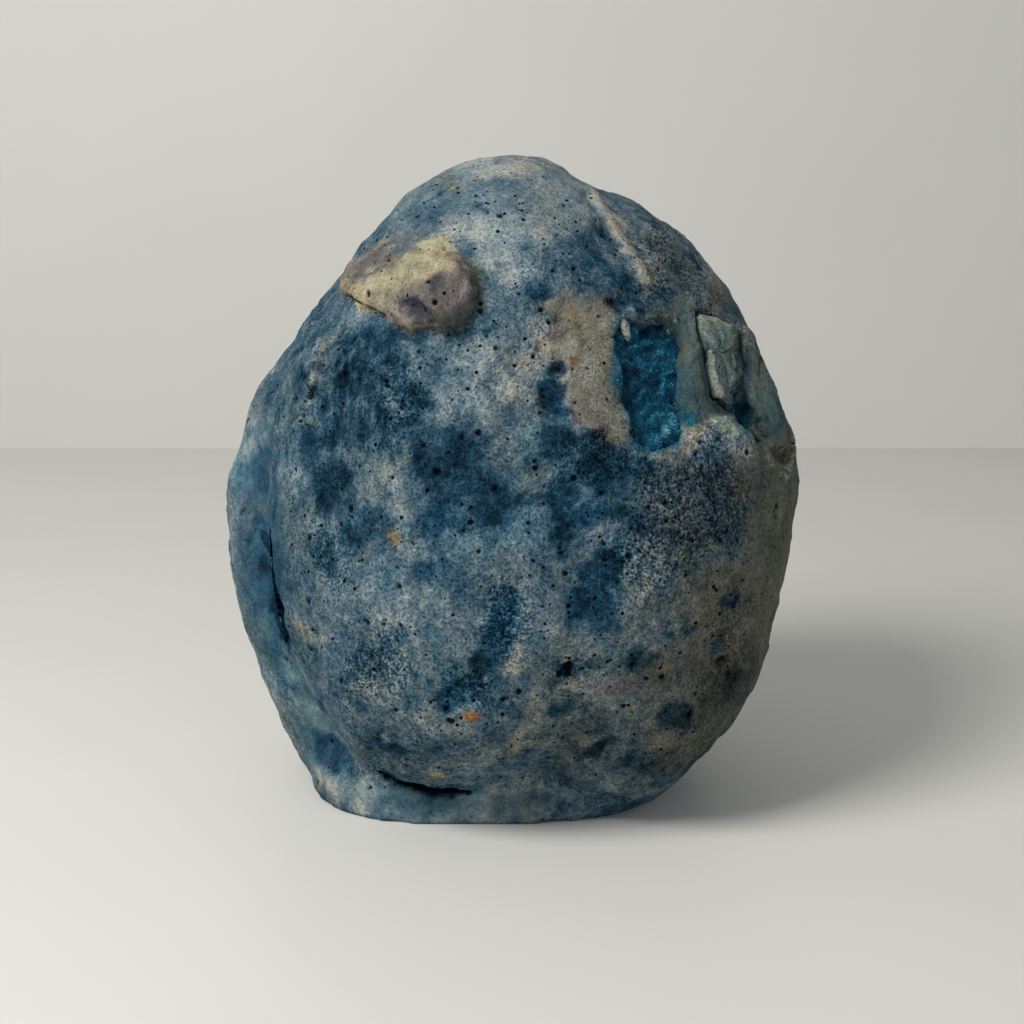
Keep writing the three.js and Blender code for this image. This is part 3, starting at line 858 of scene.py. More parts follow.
DYES: dict[Dye, tuple[Shape, ...]] = {
    Dye.NAVY_AND_SHADE: (
        # The soaked middle of the dome.
        Spot(-9, 64.5, 5.5, 5), Spot(-4, 60, 7, 3.5, -15), Spot(-11, 62, 1.8, 1.8),
        Spot(-8, 56, 5, 3.5, 10, 0.7), Spot(-3, 56, 2.2, 1.7), Spot(-22, 53, 5, 3, 20, 0.7),
        Spot(-27, 58, 3.5, 4.5, 20), Spot(-29, 47.5, 3, 3, 0, 0.9), Spot(-33, 46, 2, 4, 0, 0.5),
        # Under the knob, and the streaked slope left of it.
        Spot(-22, 78, 7, 6, 0, 0.9), Spot(-17.5, 76.5, 2.2, 2.4), Spot(-15, 73, 2.5, 2.4),
        Spot(-25, 70, 6, 7, 10, 0.75), Spot(-17, 68, 6, 4, 0, 0.6), Spot(-16, 82, 6, 1.6, 8),
        Spot(-30, 63, 3, 5, 0, 0.6), Spot(-2, 83.5, 1.3, 1), Spot(-7, 77, 2.2, 1.8, 0, 0.6),
        Spot(-7, 94.5, 2.2, 1.4, 0, 0.7), Spot(-4.2, 101.6, 0.9, 0.8), Spot(-34, 74, 2, 3, 0, 0.5),
        Spot(-12, 100, 5, 3, 20, 0.45), Spot(-3, 88, 5, 3.5, 0, 0.45),
        # Right of the middle, under the tan patch.
        Spot(12.5, 67, 3.4, 2), Spot(8, 66, 3, 3.4, 0, 0.9), Spot(15, 63, 5.5, 3.5),
        Spot(8.5, 60, 2.5, 3), Spot(21.6, 62, 2.2, 2.6, -20), Spot(9, 54, 1.6, 5.5, 4),
        Spot(13, 56.5, 3, 2.2, 0, 0.8), Spot(16, 57, 2.5, 2, 0, 0.7), Spot(3, 66, 4, 5, 0, 0.3),
        Spot(14.5, 46.5, 4.4, 3.6), Spot(13, 42.5, 3.6, 4), Spot(15, 38.6, 1.8, 1.6),
        Spot(18, 87.6, 3, 2.6), Spot(21.6, 86.2, 1.7, 2.4), Spot(13, 94, 4, 4, 30, 0.5),
        Spot(31, 92.6, 1.9, 1, -50), Spot(4, 88, 4, 3, 0, 0.4), Spot(8, 93, 4, 4, 0, 0.35),
        Spot(25, 86, 2, 2.6, 0, 0.6),
        # The crisp hollow beside the tan patch.
        Spot(8.3, 76.5, 1.3, 1.5, 0, 1.0), Spot(6.9, 72.6, 2.4, 2.1, 20, 1.0),
        # The lower front.
        Spot(0.5, 42, 2.8, 3.4, 0, 0.9), Spot(-0.5, 37, 1.8, 3, 0, 0.8), Spot(-8.4, 26.6, 2.6, 2.6),
        Spot(-5, 29, 2.4, 2.8), Spot(-4, 33, 1.4, 2.4, 0, 0.7), Spot(-24, 29.4, 2.4, 1.8, 0, 0.7),
        Spot(-18.6, 17, 2.6, 2), Spot(-13, 48, 2.2, 2.2, 0, 0.6), Spot(-26, 34, 4, 3, 0, 0.35),
        Spot(-20.5, 31, 4.6, 4, 0, 0.6), Spot(-17.5, 36.4, 2, 2, 0, 0.7),
        Spot(-22.6, 33.4, 1.6, 1.2, 0, 0.6),
        Spot(9.6, 31.2, 3, 2.4), Spot(7.6, 30, 1.6, 0.9, 30), Spot(13, 32.5, 2.6, 2, 0, 0.7),
        Spot(20, 32.6, 3.2, 2.2, 0, 0.8), Spot(26.6, 22.4, 3, 2.4, 10),
        Spot(9.6, 24.6, 3.2, 1.8, 0, 0.8),
        Spot(3, 25, 2, 3, 0, 0.4), Spot(36.4, 41, 1.9, 2, 0, 0.9), Spot(33, 34, 1.2, 2.4, -30, 0.7),
        Spot(27, 37.4, 2.6, 0.8, 8), Spot(13.6, 16.2, 3, 1.3, 25, 0.9),
        Spot(19, 14, 2, 1.2, 20, 0.8),
        Spot(24, 15, 4, 1.5, 20, 0.4), Spot(35, 28, 2.4, 1.6, 40, 0.5),
        Spot(38.4, 68.6, 1.2, 1.9, 20), Spot(43, 66.8, 1.2, 0.5, 30, 0.7),
        Spot(40, 66.4, 1, 1.2, 0, 0.6),
        # The band down the left, and the foot.
        Spot(-43.8, 46, 1.2, 3.6, -8, 0.5), Spot(-42.5, 40, 1.2, 1.4, 0, 0.6),
        Spot(-45.4, 41, 0.7, 2.4, 15, 0.5),
        Spot(-38, 29.2, 1.8, 0.9), Spot(-30.4, 9.6, 3.4, 2.8), Spot(-26, 7.6, 2.4, 1.4, 20, 0.6),
        Spot(-16, 4.4, 5, 2.4, 0, 0.5), Spot(-8, 3.4, 5, 2, 0, 0.5), Spot(5, 3, 5, 2, 0, 0.5),
        Spot(17, 6.5, 2, 1, 0, 0.6),
        # Painted shade: under the dome's lip, in the crack on the left and along the knob's lower
        # right edge.
        Line(LIP_PATH, 1.4), Line(CRACK_PATH[2:], 1.0), Line(LIP_PATH[1:5], 2.0),
        Line(((-6, 5.6), (0, 5.2)), 1.2, 0.6),
        Line(((-5.4, 90), (-5.4, 86), (-6.4, 83), (-9, 81.8)), 1.1, 0.9),
    ),
    Dye.SKY: (
        Spot(-42, 45, 3, 6), Spot(-41, 33, 4, 5), Spot(-44, 55, 3, 5, 0, 0.6),
        Spot(-39, 24, 5, 7, 0, 0.8),
        Spot(-34, 15, 5, 6, 0, 0.6), Spot(-26, 6, 6, 4, 0, 0.5), Spot(-19, 46, 3, 5, 0, 0.45),
        Spot(-9.5, 48, 3, 4, 0, 0.25), Spot(-9, 66, 3, 2, 0, 0.9), Spot(2, 54, 5, 5, 0, 0.6),
        Spot(3.6, 67, 2.4, 3, 0, 0.5), Spot(-4, 56, 10, 8, 0, 0.45),
        Spot(12.4, 56.4, 2.6, 2.2, 0, 0.8), Spot(14, 44, 5, 6, 0, 0.7),
        Spot(7, 73, 3, 4, 0, 0.6), Spot(-11, 36.4, 1.2, 1), Spot(-6.4, 27.6, 4.4, 4, 0, 0.7),
        Spot(0.5, 40, 3.4, 5, 0, 0.6), Spot(-36, 61, 2.4, 1.4, 20, 0.6), Spot(10, 12, 9, 5, 0, 0.3),
        Spot(-12, 4, 14, 4, 0, 0.5), Spot(28, 83, 1.8, 2.4, 0, 0.7), Spot(28, 69, 1.6, 1.4),
    ),
    Dye.PALE: (
        Spot(-2, 107, 9, 1.6), Spot(10, 103.5, 7, 3, -20, 0.5), Spot(-7, 97, 6, 2.6, 10, 0.8),
        Spot(-2, 94, 3.6, 4, 0, 0.5), Spot(3, 97, 5, 3, 0, 0.5), Spot(2, 84, 4, 3, 0, 0.35),
        Spot(-4, 79, 5, 3.4, 0, 0.5), Spot(-8, 74, 5, 3.6, 0, 0.6), Spot(2, 75, 4, 5, 0, 0.5),
        Spot(-16, 71, 2, 2, 0, 0.8), Spot(-15.5, 79, 2, 1.8, 0, 0.7), Spot(-27, 81.2, 1.2, 0.8),
        Spot(-17, 63, 4, 3.6, 0, 0.7), Spot(3.4, 67, 2, 3.4), Spot(4.6, 62.6, 1.8, 3, 0, 0.7),
        Spot(-9.8, 63.2, 1.2, 0.25), Spot(10, 73, 0.8, 3), Spot(7.6, 81, 2, 2.6, -40, 0.6),
        Spot(-33, 48, 4, 7, 0, 0.25), Spot(-14, 51, 3, 1.5, 0, 0.5), Spot(-13, 42, 6, 3, 0, 0.5),
        Spot(-23, 44, 4, 4, 0, 0.35), Spot(-30.6, 34.6, 3.2, 3, 0, 0.8),
        Spot(-20, 40, 5, 3, 0, 0.5),
        Spot(2, 34, 3, 2.4), Spot(5, 41, 3, 4, 0, 0.4), Spot(20, 44, 2.4, 2.4, 0, 0.4),
        Spot(26, 64.6, 3, 3, 0, 0.8), Spot(33, 63.5, 5, 3, -25, 0.6), Spot(24, 92, 4, 5, -20, 0.4),
        Spot(33, 88, 3, 3, -40, 0.5), Spot(-44.4, 66, 3, 4, 0, 0.6), Spot(-45, 60, 2.4, 2.4),
        Spot(-37, 25, 2.6, 4, 0, 0.7), Spot(-33, 15, 3.4, 3, 0, 0.5), Spot(-27, 13, 3, 2, 0, 0.5),
        Spot(-31.6, 4.4, 2.6, 1.8), Spot(-24.6, 1, 2.4, 0.9), Spot(-19, 5, 1.6, 3, 0, 0.6),
        Spot(-13.6, 31.5, 2.4, 1.8, 0, 0.6), Spot(-8, 38, 4, 4, 0, 0.35),
        Spot(22, 37, 2.4, 3, 0, 0.5),
        Line(VEIN_PATH, 1.0), Line(((33, 68.6), (36.6, 66.8)), 0.3), Spot(18.6, 81.6, 0.8, 2, 12),
        Spot(4, 19, 4, 3, 0, 0.5), Spot(11, 5, 2, 1.4, 0, 0.7), Spot(23, 84, 2.6, 1, 10, 0.7),
    ),
    Dye.TAN: (
        Spot(16.6, 97, 2.4, 1.4, -50, 0.8), Spot(-33, 35.4, 1, 1.4, 0, 0.7),
        Spot(-30.6, 34, 3.4, 3.4, 0, 0.45),
        Spot(-12, 12, 3, 0.9, -10), Spot(9.4, 28.4, 3, 1.5), Spot(16, 28, 4, 1.8, 0, 0.9),
        Spot(28, 42, 4.4, 2.8, 15), Spot(27, 36, 4, 4, 0, 0.6), Spot(18, 37, 2, 1.6, 0, 0.8),
        Spot(4, 62.6, 1.8, 1.6, 0, 0.8), Spot(2, 79, 3, 3, 0, 0.45), Spot(4.6, 98, 3, 2, 0, 0.5),
        Spot(-8, 18, 8, 5, -5, 0.5), Spot(-16, 21, 8, 5, -10, 0.35), Spot(4, 19, 5, 4, 0, 0.7),
        Spot(-18, 36, 6, 4, 0, 0.4), Spot(2, 33.6, 3, 2, 0, 0.8), Spot(-31, 4, 3, 2, 0, 0.35),
        Spot(-24.6, 0.8, 2.6, 1, 0, 0.5), Spot(17.5, 57, 2.4, 1.6, 0, 0.6),
        Spot(25.4, 63, 3, 4, -20, 0.7),
        Spot(30.6, 75.6, 1, 2, 0, 0.8), Spot(31.6, 69.4, 2.6, 1.2, -30), Spot(-9, 104.8, 2, 1),
        Spot(17, 18, 4, 1.6, 10, 0.6), Spot(-5, 36, 5, 4, 0, 0.25),
        Spot(-10, 24, 20, 13, 0, 0.45), Spot(15, 25, 20, 14, 0, 0.6), Spot(30, 40, 14, 16, 0, 0.5),
        Spot(4, 84, 5, 5, 0, 0.35), Spot(26, 66, 5, 3, -10, 0.7), Spot(-23, 72, 8, 11, 8, 0.35),
    ),
    Dye.DRUSE: (
        Area(TAN_EDGE, 1.0), Area(TAN_EDGE, 2.8, 0.7), Spot(17, 97, 1.6, 1.1, -50, 0.8),
        Line(VEIN_PATH, 0.9, 0.9),
        Spot(12.4, 87.4, 5, 1.2, 0, 0.5),
    ),
    Dye.EARTH: (Area(KNOB_EDGE, 1.9),),
    Dye.CREAM: (
        Line(((32.4, 78), (32.6, 75.4), (33, 73.2), (34, 71.6)), 0.6),
        Line(((32, 83.6), (34.6, 82.7), (37.4, 81.3)), 0.5),
        Line(RIM_PATH, 0.5, 0.45), Line(((32.3, 68.3), (34.7, 66.9)), 0.25),
        Spot(18.6, 81.6, 0.7, 1.8, 12, 0.8),
        Line(RIDGE_PATH, 0.6, 0.6), Spot(36.6, 78.6, 1.2, 0.4, 20, 0.6),
        Spot(33, 82.2, 1.4, 1.6, 0, 0.35),
        Spot(33.6, 72.4, 0.9, 1.6, 20, 0.4), Spot(29.6, 86.2, 1, 1.4, 0, 0.4),
    ),
    Dye.SLATE: (Area(SLATE_EDGE, 0.9), Area(FRACTURE_FOOT, 0.6)),
    Dye.MOSS_AND_SHADE: (
        # Painted shade along the knob's lower right edge and under its lower edge, over its own
        # darker green-black.
        Line(((-5.4, 90.6), (-5.4, 87.4), (-6.6, 84.4), (-9, 82.8)), 1.5),
        Line(((-8.6, 82.4), (-12, 82.8), (-15.4, 83.2)), 0.6, 0.7),
    ),
    Dye.INDIGO: (
        Spot(-13.9, 86.9, 1.4, 1.5), Spot(-12.4, 85.2, 2.2, 1.4, -20),
        Spot(-15.8, 87.6, 0.9, 0.7, 0, 0.8), Spot(-10.4, 90.4, 0.9, 1.5, 0, 0.8),
        Spot(-21.6, 92, 2, 0.8, 28, 0.45), Spot(-7.4, 85, 1.6, 2, 0, 0.35),
        Spot(-16.5, 85.2, 1.2, 0.7, 0, 0.5),
    ),
    Dye.TEAL: (
        Area(POCKET_EDGE, 2.4), Spot(40.2, 75.2, 1.1, 3.2, -8, 0.6),
        Spot(38.3, 68.2, 1.9, 2.6, 20, 1.0),
        Line(((41, 66.4), (42.2, 67), (43.6, 66.2), (43.8, 64.6), (43, 63.4)), 0.6, 0.8),
        Spot(45.6, 64.6, 2, 0.8, -10, 0.6),
        Spot(46.2, 65.6, 1.6, 3.6, 0, 0.55), Spot(28.6, 68.6, 1.5, 1.2, 0, 0.9),
        Spot(34.8, 80, 1.8, 1.6, 0, 0.55), Spot(34.6, 74, 1.4, 2.8, 8, 0.34),
        Spot(28.8, 83.4, 1.6, 2.2, 0, 0.4), Spot(41, 69, 2.6, 3, 0, 0.35),
        Spot(16.9, 76, 1.0, 4.4, 0, 0.6), Spot(42.4, 74.6, 2, 4, 20, 0.18),
        Spot(30.4, 71.6, 2, 2.6, -20, 0.22), Spot(44, 66, 3, 4, 0, 0.55),
        Spot(27.8, 74, 1.6, 5, 0, 0.4),
    ),
    Dye.STREAK: (Spot(-23, 72, 8, 12, 8),),
    Dye.OLIVE: (
        Spot(36, 36, 10, 13, 0, 0.9), Spot(27, 28, 9, 8, 0, 0.7), Spot(46, 50, 9, 16, 0, 0.9),
        Spot(43, 34, 9, 14, 0, 0.9),
        Spot(41, 60, 7, 6, 0, 0.75), Spot(31, 19, 10, 10, 0, 0.85), Spot(15, 18, 11, 6, 0, 0.45),
        Spot(17, 11, 13, 5, 0, 0.4),
        Spot(30, 54, 11, 9, -6, 0.4), Spot(29, 91, 7, 7, -35, 0.5), Spot(36, 87, 3, 5, -35, 0.8),
        Spot(42.5, 77, 2.4, 6, -30, 0.85),
        Spot(46.6, 69, 2.2, 6, -15, 0.55), Spot(44, 78, 5, 9, -20, 0.6),
        Spot(16.1, 76, 1.3, 7, 0, 0.6), Spot(-44, 68, 3, 4, 0, 0.4),
        Spot(30, 84, 1.6, 4, -10, 0.6), Spot(-31, 4, 3, 2, 0, 0.4), Spot(26, 84.6, 2, 1.4, 0, 0.5),
        Spot(29.6, 67.8, 4, 1.8, -20, 0.7),
        Spot(28.4, 77.6, 1.2, 3, 0, 0.6), Spot(39, 79.4, 1.2, 1.6, 0, 0.7),
    ),
    Dye.CRACKLE: (
        Spot(30, 56, 10, 7, -6), Spot(24, 50, 8, 6), Spot(33, 64, 6, 4, -20, 0.8),
        Spot(25, 92, 4, 6, -20, 0.8),
        Spot(-20.5, 30.6, 5, 4.4, 0, 0.85), Spot(-18, 36, 2.6, 2.4, 0, 0.7),
        Spot(1, 40, 4, 6, 0, 0.85),
        Spot(-5.6, 29, 4.6, 4.6, 0, 0.6), Spot(10, 31, 4, 3, 0, 0.6), Spot(-28, 47, 4, 4, 0, 0.5),
        Spot(33, 88, 4, 4, -40, 0.7), Spot(20, 44, 4, 4, 0, 0.3), Spot(15, 65, 8, 4, 0, 0.6),
        Spot(-17, 72, 4, 6, 0, 0.5), Spot(6, 81, 3, 4, 0, 0.5), Spot(35, 37, 5, 6, 0, 0.4),
    ),
    Dye.EVEN: (Spot(0, 105, 28, 9), Spot(-42, 42, 6, 30, 0, 0.5), Spot(-6, 98, 14, 6, 0, 0.6)),
    Dye.PLAIN: (
        Area(BETWEEN_EDGE, 0.8),
        Spot(-42, 40, 6, 30), Spot(-34, 14, 7, 12), Spot(-12, 3, 22, 4),
        Spot(45, 45, 9, 24, 0, 0.3), Spot(44, 72, 6, 14, 20, 0.6),
    ),
    Dye.RUST: (
        Spot(-5.2, 23.8, 1.7, 1.1, -8), Spot(10.3, 78.2, 0.8, 0.6),
        Spot(-33.4, 35.6, 0.7, 0.8, 0, 0.35),
    ),
    Dye.OCHRE: (
        Spot(-17, 52.3, 1.2, 1.4), Spot(-11, 12.2, 2.4, 0.5, -12), Spot(10, 84.6, 2.6, 2, 0, 0.5),
    ),
    Dye.YELLOW: (
        Line(((-10.6, 95), (-13, 92.8), (-16, 91.2), (-19.6, 89.6), (-23.6, 88)), 1.9, 0.95),
        Spot(-12, 94.6, 2.2, 1.6), Spot(-20, 87.4, 3.6, 1.6, -20, 0.55),
    ),
    Dye.AMBER: (
        Spot(11.4, 84.4, 3.6, 2.2, 0, 0.25), Spot(31.4, 82.6, 0.9, 2.4, 0, 0.35),
        Spot(34, 83, 1.6, 0.8, -20, 0.3),
        Spot(-25.6, 89, 1.8, 1.6, 20, 0.8), Spot(-8.8, 93.4, 2.6, 1.1, -35, 0.75),
        Spot(-13.6, 90.8, 3.4, 0.9, 24, 0.55),
        Line(((-24.6, 87), (-21, 85.6), (-17.6, 84.2), (-13, 83)), 0.8, 0.7),
        Spot(-16.6, 86.8, 1, 0.7, 0, 0.6),
        Spot(-10.4, 86, 0.9, 1.1, 0, 0.7), Spot(-12.4, 83.8, 1.8, 0.7, 0, 0.7),
        Spot(-20.4, 94.6, 2.4, 0.6, 20, 0.6),
    ),
    Dye.MAUVE: (
        Spot(-21.4, 91.6, 3, 1.6, 28), Spot(-9.6, 90.4, 4, 3.4), Spot(-9, 86.6, 3, 3.4),
        Spot(-15, 86.4, 4, 2.2, -8),
        Spot(11.6, 70.6, 3, 1.8, -20, 0.6), Spot(6, 82.4, 2.4, 1.6, -30, 0.5),
        Spot(16.4, 27.6, 5, 1.5, -5, 0.75),
        Spot(9.8, 28.6, 2.4, 1.3, 0, 0.7), Spot(30, 42.4, 4, 2.6, 15, 0.4),
        Spot(16, 38, 1.6, 1.3, 0, 0.5),
    ),
    Dye.SEA: (
        Area(FACE_A, 0.6, 0.85), Area(FACE_B, 0.6, 0.55), Line(FACE_B[-4:], 0.9, 0.7),
        Area(FACE_C, 0.7, 0.7),
        Spot(43.6, 66, 3.4, 6, 10, 0.85),
        Spot(46, 62, 2, 4, 10, 0.8), Spot(34.8, 67.2, 3.4, 1.2, -25, 0.7),
    ),
}  # fmt: skip

RELIEF = (
    Form(Area(KNOB_EDGE, 1.6), 1.2),
    Form(Line(((-11.4, 94.6), (-14, 92.2), (-18, 90.2), (-24, 88.2)), 1.5), 0.5),
    Form(Spot(-21.4, 91.8, 3, 1.4, 28), -0.5),
    Form(Spot(-9.6, 88.6, 3.4, 4.4), 0.8),
    Form(Spot(-13.4, 86.2, 2, 1.4), -0.5),
    Form(Line(((-24.8, 86.8), (-23, 86.1), (-20.8, 85.2), (-18.8, 84.4)), 0.3), -0.6),
    Form(Line(((-6, 83), (-9, 81.4), (-13, 81.6), (-17, 82.4)), 0.9), -0.6),
    Form(Line(VEIN_PATH, 0.8), 0.7, 0.15),
    Form(Line(((13.2, 102.8), (16.2, 97), (18.4, 93.8), (20.4, 90.2)), 0.6), -0.35, 0.15),
    Form(Line(RIDGE_PATH, 0.7), 1.3),
    Form(Line(((-31.2, 80), (-31.8, 74), (-32.6, 68)), 0.8), -0.5),
    # The pocket's rim, the tan patch and the hollow beside it.
    Form(Area(TAN_EDGE, 0.7), -0.4),
    Form(Line(((4.4, 80.4), (7, 78.4), (9.6, 77.8)), 0.7), 0.5),
    Form(Spot(8.3, 76.5, 1.2, 1.5, -15), -0.7),
    Form(Spot(6.7, 72.4, 1.9, 1.6, 30), -0.7),
    Form(Spot(18.6, 81.6, 0.6, 1.6, 12), 0.9),
    Form(Line(((20.4, 84.4), (23, 83.6), (25.6, 83.6)), 0.7), 0.8),
    # The fracture: its faces, the cracks between them and the rim below.
    Form(Area(FACE_A, 0.26), 0.4, 0.4, (-0.06, -0.12)),
    Form(Area(FACE_B, 0.26), 0.35, 0.4, (-0.16, 0.02)),
    Form(Area(FACE_C, 0.3), 0.4, 0.32, (0.1, 0.04)),
    Form(Area(FACE_F, 0.26), 0.35, 0.32, (0.12, -0.06)),
    Form(Line(MAIN_CRACK, 0.34), -1.5, 0.2),
    Form(Line(((31.5, 84.3), (33.6, 83.5), (35.8, 82.6), (37.7, 81.6)), 0.35), -0.9, 0.12),
    Form(Line(SIDE_CRACK, 0.28), -0.45, 0.25),
    Form(Line(OUTER_CRACK, 0.3), -1.0, 0.14),
    Form(Spot(38.4, 68.2, 1.3, 1.8, 20), -0.9, 0.1),
    Form(Line(((33.4, 82.2), (34.6, 80), (34, 78.4)), 0.26), -0.45, 0.3),
    Form(Line(((34, 77), (35.6, 75), (35.2, 72.6)), 0.26), -0.5, 0.3),
    Form(Line(((36.6, 78), (36.4, 76), (37.4, 74)), 0.24), -0.45, 0.3),
    Form(Spot(40.1, 75, 0.9, 2.6, -6), -0.6, 0.2),
    Form(Line(((42.6, 75.6), (42, 72.8), (43, 70.2)), 0.28), -0.5, 0.3),
    Form(Spot(28.6, 82.6, 1.4, 2.2), -0.35, 0.2),
    Form(Line(((30.6, 79), (29, 76.6), (28.4, 73.4), (29.4, 70.6)), 0.5), 0.3, 0.4),
    Form(Area(FACE_D, 0.25), 0.45, 0.1),
    Form(Area(FACE_E, 0.25), 0.45, 0.1),
    Form(Line(RIM_PATH, 0.5), 0.55, 0.2),
    Form(Line(((32.3, 68.3), (34.7, 66.9)), 0.22), 0.25, 0.0),
    Form(Line(((36.6, 68.3), (32, 67.2), (28.6, 66.4)), 0.9), 0.4),
    # Swells and dips of the dome.
    Form(Spot(-43.4, 46.4, 1.6, 4.4, -8), -0.4),
    Form(Spot(13.6, 16.2, 3, 1.2, 25), -0.8),
    Form(Spot(-17.5, 76.5, 2, 2.2), -0.6),
    Form(Spot(-15, 73, 2.2, 2.2), -0.6),
    Form(Spot(-16, 71, 2, 1.8), 0.5),
    Form(Spot(-4, 33, 1.4, 2.4), -0.4),
    Form(Spot(-8.4, 26.6, 2.6, 2.6), -0.35),
    Form(Spot(14.5, 46.5, 4.4, 3.6), -0.4),
)

# The crack along the dome's left edge, and the gap under its lip.
GAPS = (
    Gap(Line(CRACK_PATH, 0.26), -14.5), Gap(Line(CRACK_PATH[3:], 0.5), -14.5),
    Gap(Line(CRACK_PATH[5:], 0.72), -14.5), Gap(Line(BROW_PATH, 0.34), -15.5),
    Gap(Line(BROW_PATH[3:], 0.55), -15.5), Gap(Line(LIP_PATH[:6], 0.35), -23.6),
    Gap(Line(LIP_PATH[1:5], 0.7), -23.2, 0.2), Gap(Line(LIP_PATH[2:4], 1.1), -23.0, 0.2),
)  # fmt: skip

PITS = (
    (9.6, 31.4, 1.2), (8.8, 30.6, 0.8), (7.6, 30.4, 0.72), (19.6, 32.2, 0.8), (-11, 62.2, 0.8),
    (-4.3, 67.4, 0.64),
    (10.4, 91.4, 0.48), (11.2, 90.2, 0.4), (2, 88.6, 0.4), (-16.6, 44.4, 0.56), (-31.4, 50, 0.72),
    (-31.6, 39, 0.64), (-25.6, 45, 0.48), (-19, 37.8, 0.48), (-16.8, 38, 0.48), (1.2, 27.6, 0.64),
    (18, 25, 0.56), (-1.8, 59.6, 0.48), (-4.8, 50.6, 0.48), (24.8, 57, 0.56), (18.4, 49.6, 0.64),
    (9.4, 42.4, 0.56), (8.8, 41, 0.4), (15.6, 32.6, 0.48), (21.6, 29, 0.56), (-4, 86.6, 0.48),
    (-10.8, 87.6, 0.56), (-12.6, 86, 0.48), (-20.6, 30.8, 0.48), (-12, 26, 0.4),
    (-24.8, 86.2, 0.48),
    (37.6, 63, 0.56), (4.6, 64, 0.48), (4.6, 62.4, 0.56), (33.6, 39, 0.48), (32, 43.6, 0.48),
)  # fmt: skip


TONES = (
    Spot(-2, 104, 30, 10, 0, 0.145), Spot(4, 84, 22, 12, 0, 0.075), Spot(-23, 72, 9, 14, 8, 0.02),
    Spot(-24, 36, 12, 14, 0, 0.01), Spot(30, 56, 11, 8, -6, -0.24), Spot(12, 22, 20, 8, 0, 0.06),
    Spot(40, 40, 10, 20, 0, -0.03), Spot(29, 20, 15, 12, 20, -0.2), Spot(-12, 4, 22, 5, 0, 0.22),
    Spot(-2, 54, 16, 14, 0, 0.03), Spot(34, 92, 6, 8, -35, 0.03), Spot(-9.4, 88, 4.4, 5, 0, -0.15),
    Spot(-42, 42, 7, 30, 0, -0.11), Spot(35, 66, 6, 3, -25, 0.15),
    Spot(-21.4, 91.6, 3.4, 2, 28, -0.03),
    Spot(41.5, 75, 3, 7, 10, 0.16), Spot(-6.8, 86, 1.4, 4, 0, 0.26), Spot(44.6, 66, 3, 4, 0, 0.16),
    Spot(34.6, 80.8, 2.6, 2.6, 0, 0.12), Spot(35.6, 74.6, 2.4, 3.4, 0, 0.08),
    Spot(7, 81.4, 3.4, 2.4, -30, 0.14),
    # The last spot is painted shade along the pocket's left rim.
    Spot(12, 82, 4, 5, 0, 0.06), Spot(17.8, 74, 0.8, 7, -6, -0.2),
)  # fmt: skip


# Colouring scattered over the sides and the back: its kind, its strength, the size of its patches,
# their seed and how rare they are.
BACK_DYES = (
    (Dye.NAVY_AND_SHADE, 0.6, 15.0, 53, 0.15), (Dye.NAVY_AND_SHADE, 0.6, 6.0, 59, 0.25),
    (Dye.OLIVE, 0.35, 22.0, 54, 0.05),
    (Dye.PALE, 0.9, 19.0, 55, 0.1), (Dye.TAN, 0.6, 12.0, 56, 0.2), (Dye.SKY, 0.6, 20.0, 57, 0.1),
    (Dye.CRACKLE, 0.8, 14.0, 58, 0.15),
)  # fmt: skip


# The kinds with a crisp edge, and those that reach far round the sides.
CRISP_DYES = (Dye.RUST, Dye.OCHRE, Dye.SEA, Dye.CREAM, Dye.TEAL)
BROAD_DYES = (Dye.OLIVE, Dye.PLAIN, Dye.CRACKLE, Dye.TAN)

# Where the stone has few pores or none.
PORELESS = (
    Line(VEIN_PATH, 1.6), Line(RIDGE_PATH, 1.6), Area(TAN_EDGE, 0.8), Area(KNOB_EDGE, 0.8, 0.75),
)  # fmt: skip


@dataclass(frozen=True)
class Region:
    """A round part of the stone, with its middle and its reach along each axis."""

    middle: tuple[float, float, float]
    reach: tuple[float, float, float]

    def cover(self, points: Array) -> Array:
        """How much each point belongs to the region, from 0 to 1."""
        away = np.linalg.norm((points - np.array(self.middle)) / np.array(self.reach), axis=1)
        return smooth_step(away, 1.2, 0.85)


POCKET = Region((23.3, -28.4, 74), (10, 10, 12.5))
FRACTURE = Region((41, -13, 73), (14, 18, 19))


def broken(points: Array) -> Array:
    """How much each point belongs to the fracture or the pocket, from 0 to 1."""
    return np.maximum(FRACTURE.cover(points), POCKET.cover(points))


# ---- The stone -----------------------------------------------------------------------------------


def kd_tree(points: Array) -> kdtree.KDTree:
    """Builds a search tree over points.

    Args:
        points: Places, one to a row.

    Returns:
        The tree.
    """
    tree = kdtree.KDTree(len(points))
    for i, point in enumerate(points):
        tree.insert(point, i)
    tree.balance()
    return tree


@dataclass
class Pores:
    """The round pores of the rind: their middles, the ways out of them and their radii."""

    middles: Array
    outward: Array
    radii: Array

    def near(self, points: Array, margin: float) -> Array:
        """Finds the points within a pore or near it.

        Args:
            points: Places on the stone, one to a row.
            margin: How near, in millimetres.

        Returns:
            True for each point that lies so.
        """
        tree = kd_tree(points)
        found = np.zeros(len(points), dtype=bool)
        for middle, radius in zip(self.middles, self.radii):
            for _, i, _ in tree.find_range(middle, radius + margin):
                found[i] = True
        return found


